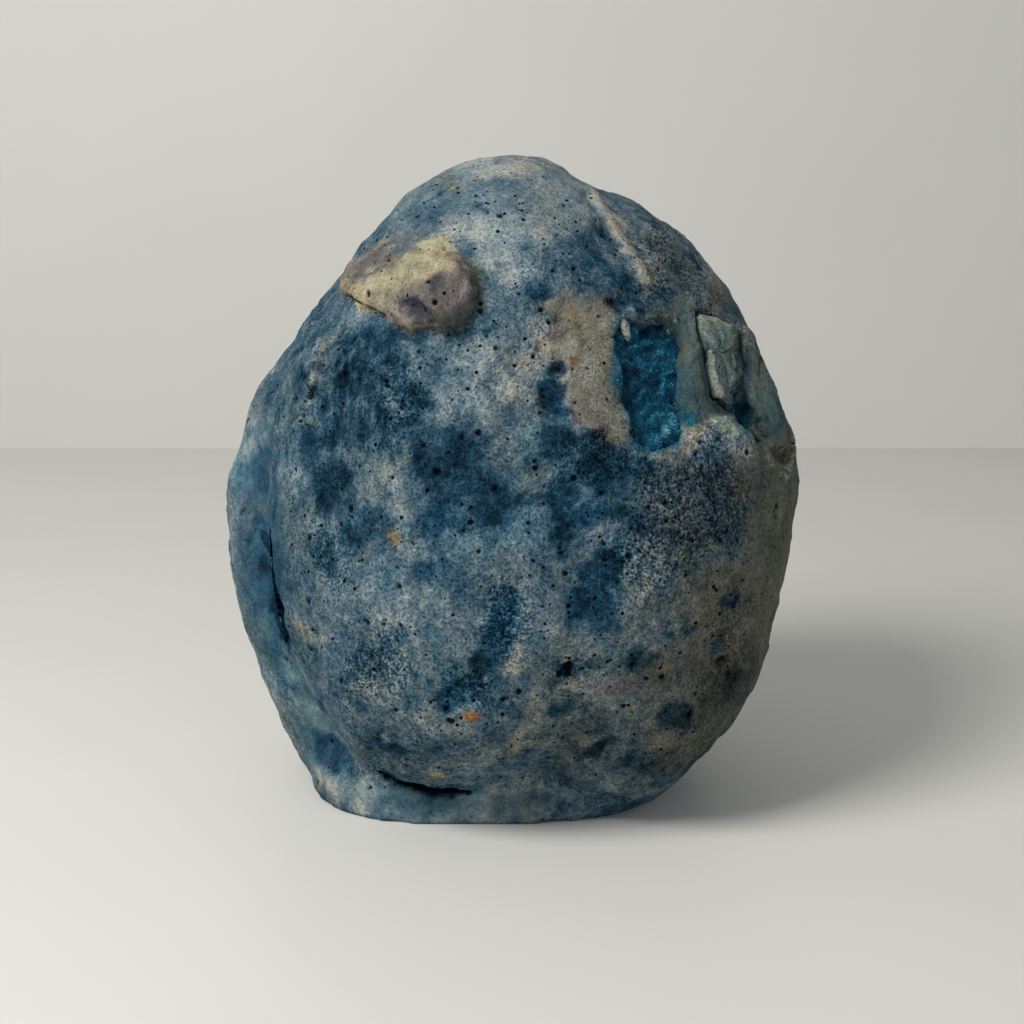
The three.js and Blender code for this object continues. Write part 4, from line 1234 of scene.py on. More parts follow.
@dataclass
class Nodule:
    """The stone's skin: the solid's form, finely lumped, pitted and stained."""

    voxel: float = 1.25
    crease_angle: float = 33.0
    crease_step: float = 0.4
    # The height, the width and the seed of the lumps.
    lumps: tuple[tuple[float, float, int], ...] = ((0.45, 8.5, 1), (0.40, 4.0, 2), (0.29, 1.9, 3))
    hollow_depth: float = 0.7
    pore_count: int = 320
    pore_smallest: float = 0.34
    pore_largest: float = 0.68
    # The longest edge round a pore after each round of splits, and how far out it reaches.
    pore_edges: tuple[tuple[float, float], ...] = ((0.7, 0.5), (0.42, 0.25), (0.26, 0.08))
    seed: int = 11
    marks: dict[str, Array] = field(default_factory=dict)
    skin: Skin | None = None

    def creases(self, form: bpy.types.Object) -> kdtree.KDTree:
        """Finds places along the form's sharp edges.

        Args:
            form: The stone's joined solid.

        Returns:
            A search tree over the places.
        """
        shell = bmesh.new()
        shell.from_mesh(form.data)
        least = math.radians(self.crease_angle)
        places = []
        for edge in shell.edges:
            if len(edge.link_faces) == 2 and edge.calc_face_angle() > least:
                first, second = (vertex.co / MM for vertex in edge.verts)
                steps = max(2, int((second - first).length / self.crease_step))
                places += [first.lerp(second, i / steps) for i in range(steps + 1)]
        shell.free()
        return kd_tree(np.array(places))

    def fitted(self, skin: Skin, form: bpy.types.Object, creases: kdtree.KDTree) -> Skin:
        """Smooths the form's flats away, and keeps its chipped edges and thin parts sharp.

        Args:
            skin: The even skin.
            form: The stone's joined solid.
            creases: Places along its sharp edges.

        Returns:
            The fitted skin.
        """
        away = np.array([creases.find(p)[2] for p in skin.points])
        keep = smooth_step(away, 2.6, 1.0) * (0.75 + 0.25 * broken(skin.points))
        keep = np.maximum(keep, smooth_step(skin.points[:, 2], 2.5, 0.5))
        skin = skin.smoothed(26, 0.5 * (1 - keep)).smoothed(3, 0.3)

        def at_edges(middles: Array, lengths: Array) -> Array:
            """Chooses the long edges beside the creases of the fracture and the pocket.

            Args:
                middles: The edges' middles.
                lengths: Their lengths.

            Returns:
                True for each edge that is split.
            """
            long = (lengths > 0.5) & (broken(middles) > 0.3)
            for i in np.nonzero(long)[0]:
                long[i] = creases.find(middles[i])[2] < 1.1
            return long

        for _ in range(2):
            skin = skin.refined(at_edges)
        tree = bvhtree.BVHTree.FromPolygons(
            [v.co / MM for v in form.data.vertices],
            [tuple(p.vertices) for p in form.data.polygons],
        )
        small = broken(skin.points)
        for i in np.nonzero(small > 0.05)[0]:
            away = creases.find(skin.points[i])[2]
            pull = small[i] * float(smooth_step(np.array(away), 2.4, 1.2))
            if pull > 0.02:
                nearest = tree.find_nearest(Vector(skin.points[i]))[0]
                skin.points[i] += pull * (np.array(nearest) - skin.points[i])
        return skin.smoothed(1, 0.35)

    def carved(self, skin: Skin) -> Skin:
        """Raises and sinks the named shapes, on a finer mesh where they are small.

        Args:
            skin: The fitted skin.

        Returns:
            The carved skin.
        """

        def at_shapes(middles: Array, lengths: Array) -> Array:
            """Chooses the edges that are too long to show the shapes that they cross.

            Args:
                middles: The edges' middles.
                lengths: Their lengths.

            Returns:
                True for each edge that is split.
            """
            chosen = np.zeros(len(middles), dtype=bool)
            front = np.nonzero((middles[:, 1] < 6) & (lengths > 0.3))[0]
            places, lengths = middles[front], lengths[front]
            shift = self.wander(places)
            wanted = np.full(len(front), np.inf)
            for form in (*RELIEF, *GAPS):
                away = form.shape.away(places[:, [0, 2]] + form.wander * shift)
                near = away < 0.5 * lengths
                wanted[near] = np.minimum(wanted[near], form.shape.fineness)
            chosen[front] = lengths > wanted
            return chosen

        for _ in range(3):
            skin = skin.refined(at_shapes)
        shift = self.wander(skin.points)
        out = skin.smoothed(6, 0.5).normals()
        front = smooth_step(out[:, 1], 0.45, 0.15) * smooth_step(skin.points[:, 1], 3, -2)
        up = sum(form.height(skin.points, shift) for form in RELIEF if form.rise > 0)
        down = sum(form.height(skin.points, shift) for form in RELIEF if form.rise < 0)
        height = up * (1 - np.clip(-down, 0, 1)) + down
        back = np.max([gap.depth(skin.points, shift) for gap in GAPS], axis=0)
        back *= skin.points[:, 1] < 0
        # Painted shade: the sunk mark darkens the gaps and the deeper sunk shapes.
        sunk = np.maximum((-down - 0.35) / 0.9 * front, back / 2.2)
        self.marks["sunk"] = np.clip(sunk, 0, 1)
        points = skin.points + out * (height * front)[:, None]
        points[:, 1] += back
        return Skin(points, skin.triangles)

    def wander(self, points: Array) -> Array:
        """A shift in x and z, in millimetres, that makes an edge irregular."""
        return 2.0 * sideways_noise(points, 6.5, 21) + 1.2 * sideways_noise(points, 1.9, 23)

    def lumped(self, skin: Skin) -> Skin:
        """Adds swells, lumps and shallow hollows along the skin's own directions.

        Args:
            skin: The carved skin.

        Returns:
            The lumpy skin.
        """
        points = skin.points
        free = smooth_step(points[:, 2], 0.2, 2.0)
        calm = broken(points)
        height = sum(rise * noise_at(points, size, seed) for rise, size, seed in self.lumps)
        patches = smooth_step(noise_at(points, 11, 9), -0.2, 0.35)
        hollow = smooth_step(noise_at(points, 2.3, 4), 0.15, 0.5) * patches * (1 - calm)
        # The hollows' mark also paints shade into them.
        self.marks["hollow"] = hollow
        return skin.raised((height * (1 - 0.75 * calm) - self.hollow_depth * hollow) * free)

    def pores(self, skin: Skin) -> Pores:
        """Scatters the pores over the skin, in clusters and mostly small, and adds the pits.

        Args:
            skin: The lumpy skin.

        Returns:
            The pores and the pits.
        """
        rng = np.random.default_rng(self.seed)
        out = skin.normals()
        crowd = 0.5 + 0.5 * noise_at(skin.points, 14, 5)
        chance = crowd**2 * (skin.points[:, 2] > 2.5)
        chance *= 1 - broken(skin.points)
        flat = skin.points[:, [0, 2]]
        for smooth in PORELESS:
            chance *= 1 - smooth.cover(flat) * (out[:, 1] < 0.3)
        chance /= chance.sum()
        picked = rng.choice(len(skin.points), self.pore_count, replace=False, p=chance)
        spread = rng.random(self.pore_count) ** 2.6
        radii = self.pore_smallest + (self.pore_largest - self.pore_smallest) * spread
        front = np.nonzero(out[:, 1] < -0.2)[0]
        for x, z, radius in PITS:
            nearest = front[np.argmin(np.hypot(flat[front, 0] - x, flat[front, 1] - z))]
            picked, radii = np.append(picked, nearest), np.append(radii, radius)
        return Pores(skin.points[picked], out[picked], radii)

    def pitted(self, skin: Skin, pores: Pores) -> Skin:
        """Refines the skin round each pore and sinks the pore into it.

        Args:
            skin: The lumpy skin.
            pores: The pores.

        Returns:
            The pitted skin.
        """
        before = kd_tree(skin.points)
        for longest, margin in self.pore_edges:
            skin = skin.refined(
                lambda middles, lengths: (lengths > longest) & pores.near(middles, margin)
            )
        nearest = [before.find(p)[1] for p in skin.points]
        self.marks = {name: values[nearest] for name, values in self.marks.items()}
        tree = kd_tree(skin.points)
        uneven = 1 + 0.22 * noise_at(skin.points, 0.7, 7)
        depth = np.zeros(len(skin.points))
        sink = np.zeros_like(skin.points)
        for middle, out, radius in zip(pores.middles, pores.outward, pores.radii):
            for _, i, away in tree.find_range(middle, radius * 1.4):
                share = max(0.0, 1 - (away * uneven[i] / radius) ** 2.4)
                if share > depth[i]:
                    depth[i] = share
                    sink[i] = -out * radius * 0.95 * share
        self.marks["pore"] = depth
        return Skin(skin.points + sink, skin.triangles)

    def stained(self, skin: Skin) -> None:
        """Works out where each kind of colouring lies.

        Args:
            skin: The finished skin.
        """
        points = skin.points
        shift = self.wander(points)
        flat = points[:, [0, 2]] + shift
        crisp = points[:, [0, 2]] + 0.35 * shift
        out = skin.normals()
        depth = points[:, 1] - 16 * np.clip(out[:, 2], 0, 1)
        depth += 6 * noise_at(points, 13, 50) + 3 * noise_at(points, 5, 52)
        facing = smooth_step(out[:, 1], 0.5, 0.1)
        front = facing * smooth_step(depth, 5, -4)
        broad = facing * smooth_step(depth, 4, -18)
        for dye, shapes in DYES.items():
            places = crisp if dye in CRISP_DYES else flat
            cover = np.max([s.cover(places) for s in shapes], axis=0)
            self.marks[dye.value] = cover * (broad if dye in BROAD_DYES else front)
        rest = 1 - broad
        self.marks["tone"] = sum(spot.cover(flat) for spot in TONES) * broad
        self.marks["tone"] += rest * (0.14 + 0.30 * noise_at(points, 24, 51))
        for dye, share, size, seed, least in BACK_DYES:
            patch = smooth_step(noise_at(points, size, seed), least, least + 0.35)
            self.marks[dye.value] += share * rest * patch

    def build(self, frame: dict) -> None:
        """Makes the skin and puts it in place of the solid.

        Args:
            frame: The loaded frame.
        """
        form = joined_copy(frame, "nodule")
        creases = self.creases(form)
        skin = Skin.even(form, self.voxel)
        log.info("even skin: %d triangles", len(skin.triangles))
        skin = self.fitted(skin, form, creases)
        log.info("fitted skin: %d triangles", len(skin.triangles))
        skin = self.carved(skin)
        log.info("carved skin: %d triangles", len(skin.triangles))
        skin = self.lumped(skin)
        skin = self.pitted(skin, self.pores(skin))
        skin.points[:, 2] = np.maximum(skin.points[:, 2], 0.0)
        self.stained(skin)
        self.skin = skin
        bpy.data.objects.remove(form)
        mesh = skin.to_mesh("nodule_skin")
        for name, values in self.marks.items():
            store(mesh, name, values)
        mesh.materials.append(RindFinish().material())
        piece = placed("nodule_skin", mesh)
        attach(piece, BODY)
        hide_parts("nodule")
        log.info("nodule_skin: %d triangles", len(skin.triangles))


@dataclass(frozen=True)
class RindFinish:
    """The dyed rind: grey rock stained from sky blue to navy, finely speckled and pored, with
    painted shade in its pores, hollows, cracks and gaps.
    """

    greys: tuple[tuple[float, Colour], ...] = (
        (0.0, (0.0005, 0.005, 0.012)),
        (0.20, (0.002, 0.021, 0.040)),
        (0.36, (0.011, 0.050, 0.090)),
        (0.50, (0.041, 0.092, 0.138)),
        (0.64, (0.093, 0.150, 0.191)),
        (0.80, (0.182, 0.244, 0.276)),
        (1.0, (0.36, 0.40, 0.39)),
    )
    tints: tuple[tuple[Dye, Colour, float], ...] = (
        (Dye.SKY, (0.68, 1.03, 1.10), 0.9),
        (Dye.TAN, (1.30, 1.02, 0.80), 0.9),
    )
    washes: tuple[tuple[Dye, Colour, float], ...] = (
        (Dye.DRUSE, (0.228, 0.219, 0.182), 0.95),
        (Dye.SLATE, (0.066, 0.102, 0.098), 0.9),
        (Dye.SEA, (0.215, 0.265, 0.208), 0.9),
        (Dye.OLIVE, (0.122, 0.118, 0.088), 0.9),
        (Dye.EARTH, (0.185, 0.165, 0.140), 0.95),
        (Dye.MAUVE, (0.168, 0.148, 0.142), 0.7),
        (Dye.YELLOW, (0.36, 0.34, 0.215), 0.85),
        (Dye.AMBER, (0.30, 0.235, 0.140), 0.75),
        (Dye.MOSS_AND_SHADE, (0.085, 0.095, 0.080), 0.8),
        (Dye.INDIGO, (0.028, 0.036, 0.058), 0.85),
        (Dye.TEAL, (0.006, 0.080, 0.118), 0.95),
    )
    stains: tuple[tuple[Dye, Colour, float], ...] = (
        (Dye.CREAM, (0.34, 0.37, 0.32), 0.85),
        (Dye.OCHRE, (0.25, 0.19, 0.10), 0.8),
        (Dye.RUST, (0.21, 0.105, 0.042), 0.9),
    )
    warm: Colour = (1.22, 1.02, 0.86)
    cool: Colour = (0.70, 1.0, 1.07)
    speck_and_pore_shade_colour: Colour = (0.0008, 0.004, 0.009)
    painted_gap_shade: Colour = (0.003, 0.014, 0.034)

    def material(self) -> bpy.types.Material:
        """Builds the material.

        Returns:
            The material.
        """
        sheet = Sheet("dyed_rind")
        broad = sheet.noise(16, 3, 0.5, 1)
        mottle = sheet.noise(6, 6, 0.62, 2, stretch=1.3)
        cloud = sheet.noise(2.4, 4, 0.6, 3, stretch=1.2)
        fine = sheet.noise(1.0, 3, 0.6, 4)
        grain = sheet.noise(0.42, 3, 0.7, 5)
        streak = sheet.noise(1.0, 3, 0.6, 6, stretch=5)
        earthy = sheet.noise(11, 3, 0.5, 7)
        plain = sheet.attribute(Dye.PLAIN.value)
        crackle = sheet.attribute(Dye.CRACKLE.value)
        even = sheet.attribute(Dye.EVEN.value)
        earth = sheet.attribute(Dye.EARTH.value)
        rough = (1 - 0.48 * plain) * (1 - 0.3 * even) * (1 - 0.35 * earth)
        vivid = 1 - 0.6 * even
        tone = 0.562 + (broad - 0.5) * 0.5 * vivid + (mottle - 0.5) * 1.0 * vivid
        tone = tone + sheet.attribute("tone")
        tone = tone + ((cloud - 0.5) * 0.65 + (fine - 0.5) * (0.72 + 0.6 * crackle)) * rough
        tone = tone + (grain - 0.5) * (0.35 + 1.2 * crackle) * rough
        tone = tone + (streak - 0.5) * sheet.attribute(Dye.STREAK.value)
        tone = tone + 0.20 * sheet.attribute(Dye.PALE.value)
        # Navy darkens the tone: the stone's own stain, and painted shade under the lip, in the left
        # crack and along the knob's edge.
        navy_and_shade = sheet.attribute(Dye.NAVY_AND_SHADE.value)
        tone = tone - (0.02 + 0.30 * cloud) * navy_and_shade - 0.12 * sheet.soft(navy_and_shade, fine)
        # Painted shade: the shallow hollows are darkened.
        tone = tone - 0.16 * sheet.attribute("hollow")
        colour = sheet.ramp(tone, self.greys)
        warm = sheet.times(colour, self.warm)
        cool = sheet.times(colour, self.cool)
        soaked = tone.between(0.72, 0.42)
        colour = sheet.mix(earthy.between(0.48, 0.62) * 0.7 * tone.between(0.3, 0.6), colour, warm)
        colour = sheet.mix(earthy.between(0.48, 0.34) * soaked, colour, cool)
        for dye, tint, most in self.tints:
            share = sheet.soft(sheet.attribute(dye.value), cloud) * most
            colour = sheet.mix(share, colour, sheet.times(colour, tint))
        light = sheet.grey(0.1 + 1.6 * tone)
        for dye, hue, most in self.washes:
            share = sheet.wash(sheet.attribute(dye.value), cloud) * most
            if dye is Dye.OLIVE:
                share = share * (1 - 0.75 * navy_and_shade.between(0.1, 0.8))
            colour = sheet.mix(share, colour, sheet.times(hue, light))
        for dye, hue, most in self.stains:
            share = sheet.soft(sheet.attribute(dye.value), fine) * most
            colour = sheet.mix(share, colour, sheet.times(hue, light))
        grit = (grain.between(0.34, 0.60) - 0.62) * (0.72 + 0.4 * crackle)
        grit = grit * (1 - 0.5 * plain) * (1 - 0.35 * even) * (1 - 0.4 * earth)
        grit = 1 + grit * (1 - 0.85 * sheet.attribute(Dye.DRUSE.value))
        colour = sheet.times(colour, sheet.grey(grit))
        specks = sheet.cells(1.5).between(0.17, 0.11) * cloud.between(0.46, 0.54)
        specks = specks.larger(sheet.cells(2.7).between(0.13, 0.09)) * (1 - 0.8 * plain)
        # Painted shade in the cracks, the gaps and the deeper sunk shapes.
        colour = sheet.mix(sheet.attribute("sunk").between(0.15, 0.8), colour, self.painted_gap_shade)
        # The dark specks are the stone's own colour. The black in the pores is painted shade.
        specks_and_pore_shade = specks.larger(sheet.attribute("pore").between(0.2, 0.75) * 0.9)
        colour = sheet.mix(specks_and_pore_shade, colour, self.speck_and_pore_shade_colour)
        height = 1.0 * grain + 1.0 * fine + 1.5 * cloud - 0.5 * specks
        normal = sheet.bump(height * rough, 0.45, 1.0)
        roughness = 0.74 + 0.2 * fine
        return sheet.finish(colour, roughness, normal, {"Specular IOR Level": 0.04})


# ---- Crystals ------------------------------------------------------------------------------------


@dataclass(frozen=True)
class CrystalGrowth:
    """How thickly small pointed crystals grow on a bed, and how large they are."""

    per_square: float
    smallest: float
    largest: float
    lean: float = 0.7
    seed: int = 1
    keep_bed: bool = True

    def tree(self, name: str, finish: bpy.types.Material) -> bpy.types.NodeTree:
        """Builds the node tree, with named inputs for its sizes.

        Args:
            name: The tree's name.
            finish: The crystals' material.

        Returns:
            The tree. It reads how readily crystals grow from the bed's growth attribute.
        """
        group = bpy.data.node_groups.new(name, "GeometryNodeTree")
        sockets = group.interface
        sockets.new_socket("Bed", in_out="INPUT", socket_type="NodeSocketGeometry")
        for label in ("Per Square", "Smallest", "Largest", "Lean"):
            sockets.new_socket(label, in_out="INPUT", socket_type="NodeSocketFloat")
        sockets.new_socket("Seed", in_out="INPUT", socket_type="NodeSocketInt")
        sockets.new_socket("Keep Bed", in_out="INPUT", socket_type="NodeSocketBool")
        sockets.new_socket("Geometry", in_out="OUTPUT", socket_type="NodeSocketGeometry")
        tree = Tree(group)
        entry = group.nodes.new("NodeGroupInput")
        given = {socket.name: Ink(tree, socket) for socket in entry.outputs if socket.name}

        def random(low: Ink | float, high: Ink | float, turn: int) -> Ink:
            """A random number for each crystal, unlike that of any other turn."""
            inputs = {2: low, 3: high, "Seed": given["Seed"] + turn}
            return tree.node("FunctionNodeRandomValue", {"data_type": "FLOAT"}, inputs, output=1)

        def vector(x: Ink | float, y: Ink | float, z: Ink | float) -> Ink:
            """A vector of three numbers."""
            return tree.node("ShaderNodeCombineXYZ", {}, {0: x, 1: y, 2: z})

        inputs = {"Name": "growth"}
        growth = tree.node("GeometryNodeInputNamedAttribute", {"data_type": "FLOAT"}, inputs)
        inputs = {"Mesh": given["Bed"], "Seed": given["Seed"]}
        inputs["Density"] = given["Per Square"] * growth
        points = tree.node("GeometryNodeDistributePointsOnFaces", {}, inputs)
        upright = Ink(tree, points.socket.node.outputs["Rotation"])
        cone = {"Vertices": 5, "Radius Top": 0.0, "Radius Bottom": 0.5, "Depth": 0.85}
        crystal = tree.node("GeometryNodeMeshCone", {"fill_type": "NGON"}, cone)
        sunk = {"Geometry": crystal, "Translation": (0.0, 0.0, -0.25)}
        crystal = tree.node("GeometryNodeTransform", {}, sunk)
        lean = vector(
            random(given["Lean"] * -1, given["Lean"], 3),
            random(given["Lean"] * -1, given["Lean"], 4),
            random(0.0, math.tau, 5),
        )
        turned = tree.node(
            "FunctionNodeRotateRotation",
            {"rotation_space": "LOCAL"},
            {"Rotation": upright, "Rotate By": lean},
        )
        share = random(0.0, 1.0, 6)
        width = given["Smallest"] + (given["Largest"] - given["Smallest"]) * share * share
        size = vector(
            width * random(0.8, 1.2, 7), width * random(0.8, 1.2, 8), width * random(0.8, 1.5, 9)
        )
        placed = tree.node(
            "GeometryNodeInstanceOnPoints",
            {},
            {"Points": points, "Instance": crystal, "Rotation": turned, "Scale": size},
        )
        shaded = tree.node(
            "GeometryNodeStoreNamedAttribute",
            {"data_type": "FLOAT", "domain": "INSTANCE"},
            {"Geometry": placed, "Name": "shade", "Value": random(0.0, 1.0, 10)},
        )
        real = tree.node("GeometryNodeRealizeInstances", {}, {"Geometry": shaded})
        inputs = {"Geometry": real, "Shade Smooth": False}
        real = tree.node("GeometryNodeSetShadeSmooth", {}, inputs)
        both = tree.node("GeometryNodeJoinGeometry", {}, {"Geometry": real})
        group.links.new(given["Bed"].socket, both.socket.node.inputs[0])
        chosen = tree.node(
            "GeometryNodeSwitch",
            {"input_type": "GEOMETRY"},
            {"Switch": given["Keep Bed"], "False": real, "True": both},
        )
        done = tree.node(
            "GeometryNodeSetMaterial", {}, {"Geometry": chosen, "Material": finish}
        )
        end = group.nodes.new("NodeGroupOutput")
        group.links.new(done.socket, end.inputs[0])
        return group

    def grown(self, name: str, bed: bpy.types.Mesh, finish: bpy.types.Material) -> bpy.types.Object:
        """Grows the crystals on a bed.

        Args:
            name: The new piece's name.
            bed: The mesh that they grow on, with its growth attribute.
            finish: Their material.

        Returns:
            The piece, a plain mesh.
        """
        holder = placed(name, bed)
        modifier = holder.modifiers.new("crystals", "NODES")
        modifier.node_group = self.tree(f"{name}_growth", finish)
        values = {
            "Per Square": self.per_square / MM**2,
            "Smallest": self.smallest * MM,
            "Largest": self.largest * MM,
            "Lean": self.lean,
            "Seed": self.seed,
            "Keep Bed": self.keep_bed,
        }
        for item in modifier.node_group.interface.items_tree:
            if item.name in values and item.in_out == "INPUT":
                modifier[item.identifier] = values[item.name]
        evaluated = holder.evaluated_get(bpy.context.evaluated_depsgraph_get())
        grown = bpy.data.meshes.new_from_object(evaluated)
        holder.modifiers.remove(modifier)
        holder.data = grown
        grown.name = name
        log.info("%s: %d faces", name, len(grown.polygons))
        return holder


@dataclass(frozen=True)
class CrystalFinish:
    """Small glossy crystals, each of its own shade."""

    name: str
    shades: tuple[tuple[float, Colour], ...]
    roughness: float
    spread: float
    washes: tuple[tuple[str, Colour], ...] = ()
    gloss: float = 0.22

    def material(self) -> bpy.types.Material:
        """Builds the material.

        Returns:
            The material.
        """
        sheet = Sheet(self.name)
        cloud = sheet.noise(3.4, 4, 0.65, 8)
        grain = sheet.noise(0.5, 2, 0.6, 9)
        share = 0.27 + (sheet.attribute("shade") - 0.5) * self.spread
        share = share + (cloud - 0.5) * 2 * self.spread + (grain - 0.5) * 0.6
        # Painted light from the bed: lighter and darker places, and painted glints.
        share = share + sheet.attribute("tone_and_painted_light")
        colour = sheet.ramp(share, self.shades)
        for name, tint in self.washes:
            colour = sheet.mix(sheet.attribute(name), colour, sheet.times(colour, tint))
        roughness = self.roughness + 0.25 * grain
        normal = sheet.bump(grain, 0.08, 0.5)
        return sheet.finish(colour, roughness, normal, {"Specular IOR Level": self.gloss})


TEAL_CRYSTALS = CrystalFinish(
    "teal_druse",
    (
        (0.0, (0.0006, 0.018, 0.040)),
        (0.3, (0.0010, 0.052, 0.106)),
        (0.6, (0.0016, 0.106, 0.196)),
        (0.88, (0.010, 0.190, 0.285)),
        (1.0, (0.16, 0.42, 0.50)),
    ),
    0.32,
    0.78,
)
TAN_CRYSTALS = CrystalFinish(
    "tan_druse",
    (
        (0.0, (0.080, 0.087, 0.074)),
        (0.3, (0.158, 0.163, 0.138)),
        (0.6, (0.242, 0.238, 0.198)),
        (0.85, (0.350, 0.332, 0.285)),
        (1.0, (0.80, 0.78, 0.74)),
    ),
    0.35,
    0.36,
    (("warm", (1.14, 0.99, 0.82)), ("green", (0.45, 0.78, 0.74)), ("pink", (1.12, 0.93, 0.90))),
)


# Painted light and shade in the pocket: lighter at the right and the bottom, darker at the left and
# in the middle, and painted glints low at the right.
POCKET_PAINTED_LIGHT = (
    Spot(25.4, 73, 1.8, 7, 0, 0.14), Spot(23, 67, 4, 1.8, 0, 0.08), Spot(22, 81, 4, 1.6, 0, 0.05),
    Spot(20, 75, 2.4, 5, 0, -0.14), Spot(22.6, 72.6, 2, 2.6, 0, -0.12),
    Spot(21.6, 67.6, 1.6, 1, 0, -0.1),
    Spot(24.6, 66.8, 0.8, 0.8, 0, 0.5), Spot(26, 68.6, 0.8, 1, 0, 0.2),
)  # fmt: skip


@dataclass
class PocketDruse:
    """The crust of teal crystals in the pocket."""

    voxel: float = 0.36
    # How far the crust's middle stands out, its edge lies back, and its wall reaches outwards.
    swell: float = 0.2
    dip: float = 0.2
    spread: float = 1.2
    facing: Array = field(default_factory=lambda: np.array([0.52, -0.72, 0.46]))
    growth: CrystalGrowth = CrystalGrowth(28.0, 0.18, 0.35, 0.5, 3)
    edge: CrystalGrowth = CrystalGrowth(20.0, 0.15, 0.3, 0.5, 4, keep_bed=False)

    def bed(self, frame: dict) -> bpy.types.Mesh:
        """Makes the crust's own body, even and lumpy.

        Args:
            frame: The loaded frame.

        Returns:
            Its mesh, on which crystals grow.
        """
        form = joined_copy(frame, "druzy_crust")
        skin = Skin.even(form, self.voxel).smoothed(5, 0.5)
        bpy.data.objects.remove(form)
        facing = skin.normals() @ self.facing
        height = 0.17 * noise_at(skin.points, 1.6, 31) + 0.1 * noise_at(skin.points, 0.8, 32)
        skin = skin.raised(height)
        depth = Area(POCKET_EDGE).depth(skin.points[:, [0, 2]])
        inside = smooth_step(depth, 0.0, 2.2)
        sideways = skin.points - skin.points.mean(axis=0)
        sideways -= (sideways @ self.facing)[:, None] * self.facing
        sideways /= np.linalg.norm(sideways, axis=1)[:, None]
        wall = smooth_step(depth, 1.0, 0.3)
        skin.points += (self.swell * inside - self.dip * (1 - inside))[:, None] * self.facing
        skin.points += (self.spread * wall)[:, None] * sideways
        bed = skin.to_mesh("teal_druse_bed")
        store(bed, "growth", smooth_step(facing, 0.1, 0.5))
        store(bed, "shade", 0.4 + 0.2 * noise_at(skin.points, 1.5, 33))
        store(bed, "tone_and_painted_light", self.tone_and_painted_light(skin.points))
        return bed

    def tone_and_painted_light(self, points: Array) -> Array:
        """Works out how light the teal is: uneven at random, with painted light darkest in the
        middle and lightest at the right.

        Args:
            points: Places in the pocket, one to a row.

        Returns:
            One value for each place.
        """
        flat = points[:, [0, 2]]
        light = sum(spot.cover(flat) for spot in POCKET_PAINTED_LIGHT)
        return 0.22 + light + 0.12 * noise_at(points, 2.6, 34)

    def seam(self, skin: Skin) -> bpy.types.Mesh:
        """Cuts out the stone's skin along the pocket's edge, where scattered crystals join them.

        Args:
            skin: The stone's skin.

        Returns:
            A mesh of the skin there.
        """
        wander = sideways_noise(skin.points, 1.9, 25, size_up=0.9)
        depth = Area(POCKET_EDGE).depth(skin.points[:, [0, 2]] + 0.7 * wander)
        growth = smooth_step(depth, -1.5, 0.2) * (skin.normals()[:, 1] < 0.4)
        growth *= skin.points[:, 1] < 0
        bed = skin.bed("teal_edge_bed", growth)
        store(bed, "tone_and_painted_light", self.tone_and_painted_light(skin.points))
        return bed

    def build(self, frame: dict, skin: Skin) -> None:
        """Makes the crystals, and puts the pocket's own in place of the crust.

        Args:
            frame: The loaded frame.
            skin: The stone's skin.
        """
        finish = TEAL_CRYSTALS.material()
        crust = self.growth.grown("teal_druse", self.bed(frame), finish)
        edge = self.edge.grown("teal_druse_edge", self.seam(skin), finish)
        for piece in (crust, edge):
            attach(piece, BODY)
        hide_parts("druzy_crust")


TAN_SHADES = {
    # The first set is painted light: glints painted on the upper left corner, the top lighter, and
    # the lower part and the rim beside the pocket darker.
    "tone_and_painted_light": (
        Spot(8, 80.6, 3, 2, -30, 0.44), Spot(11, 84.6, 6, 3.4, 0, 0.18),
        Spot(14, 70, 4, 4, 0, -0.08), Spot(16.4, 76, 1.6, 8, 0, -0.16),
        Spot(10.4, 73, 0.9, 3, 0, 0.14),
    ),
    "warm": (Spot(11.4, 84.4, 4.6, 2.6, 0, 0.4), Spot(13, 78, 2, 5, 0, 0.3)),
    "green": (Spot(16.9, 76.5, 1.5, 8, 0, 0.9), Spot(17, 84, 1.4, 2.4, 0, 0.6)),
    "pink": (Spot(12, 70, 3.4, 2.2, -20, 1), Spot(6.4, 82.4, 2.6, 2, -30, 0.9)),
}  # fmt: skip


@dataclass
class TanDruse:
    """The fine sparkling crystals of the tan patch."""

    growth: CrystalGrowth = CrystalGrowth(20.0, 0.16, 0.34, 0.5, 5, keep_bed=False)
    # The patch's upper left corner, which sparkles past its outline.
    corner: Spot = Spot(8, 80.6, 2.6, 1.6, -30, 0.8)

    def build(self, skin: Skin) -> None:
        """Grows the crystals on the stone's skin.

        Args:
            skin: The stone's skin.
        """
        flat = skin.points[:, [0, 2]]
        front = skin.normals()[:, 1] < 0.2
        wander = sideways_noise(skin.points, 1.9, 23)
        cover = np.maximum(Area(TAN_EDGE, 1.9).cover(flat + wander), self.corner.cover(flat))
        growth = cover**2 * front * (0.75 + 0.5 * noise_at(skin.points, 2.2, 36))
        bed = skin.bed("tan_druse_bed", np.maximum(growth, 0.0))
        for name, spots in TAN_SHADES.items():
            store(bed, name, sum(spot.cover(flat + 0.6 * wander) for spot in spots))
        piece = self.growth.grown("tan_druse", bed, TAN_CRYSTALS.material())
        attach(piece, BODY)


# ---- Small knobs of stone ------------------------------------------------------------------------


@dataclass(frozen=True)
class Nub:
    """A small rounded knob on the skin: its place, half sizes, turn, lift and colouring."""

    x: float
    z: float
    size: tuple[float, float, float]
    turn: float
    lift: float
    dye: Dye
    tone: float = 0.0


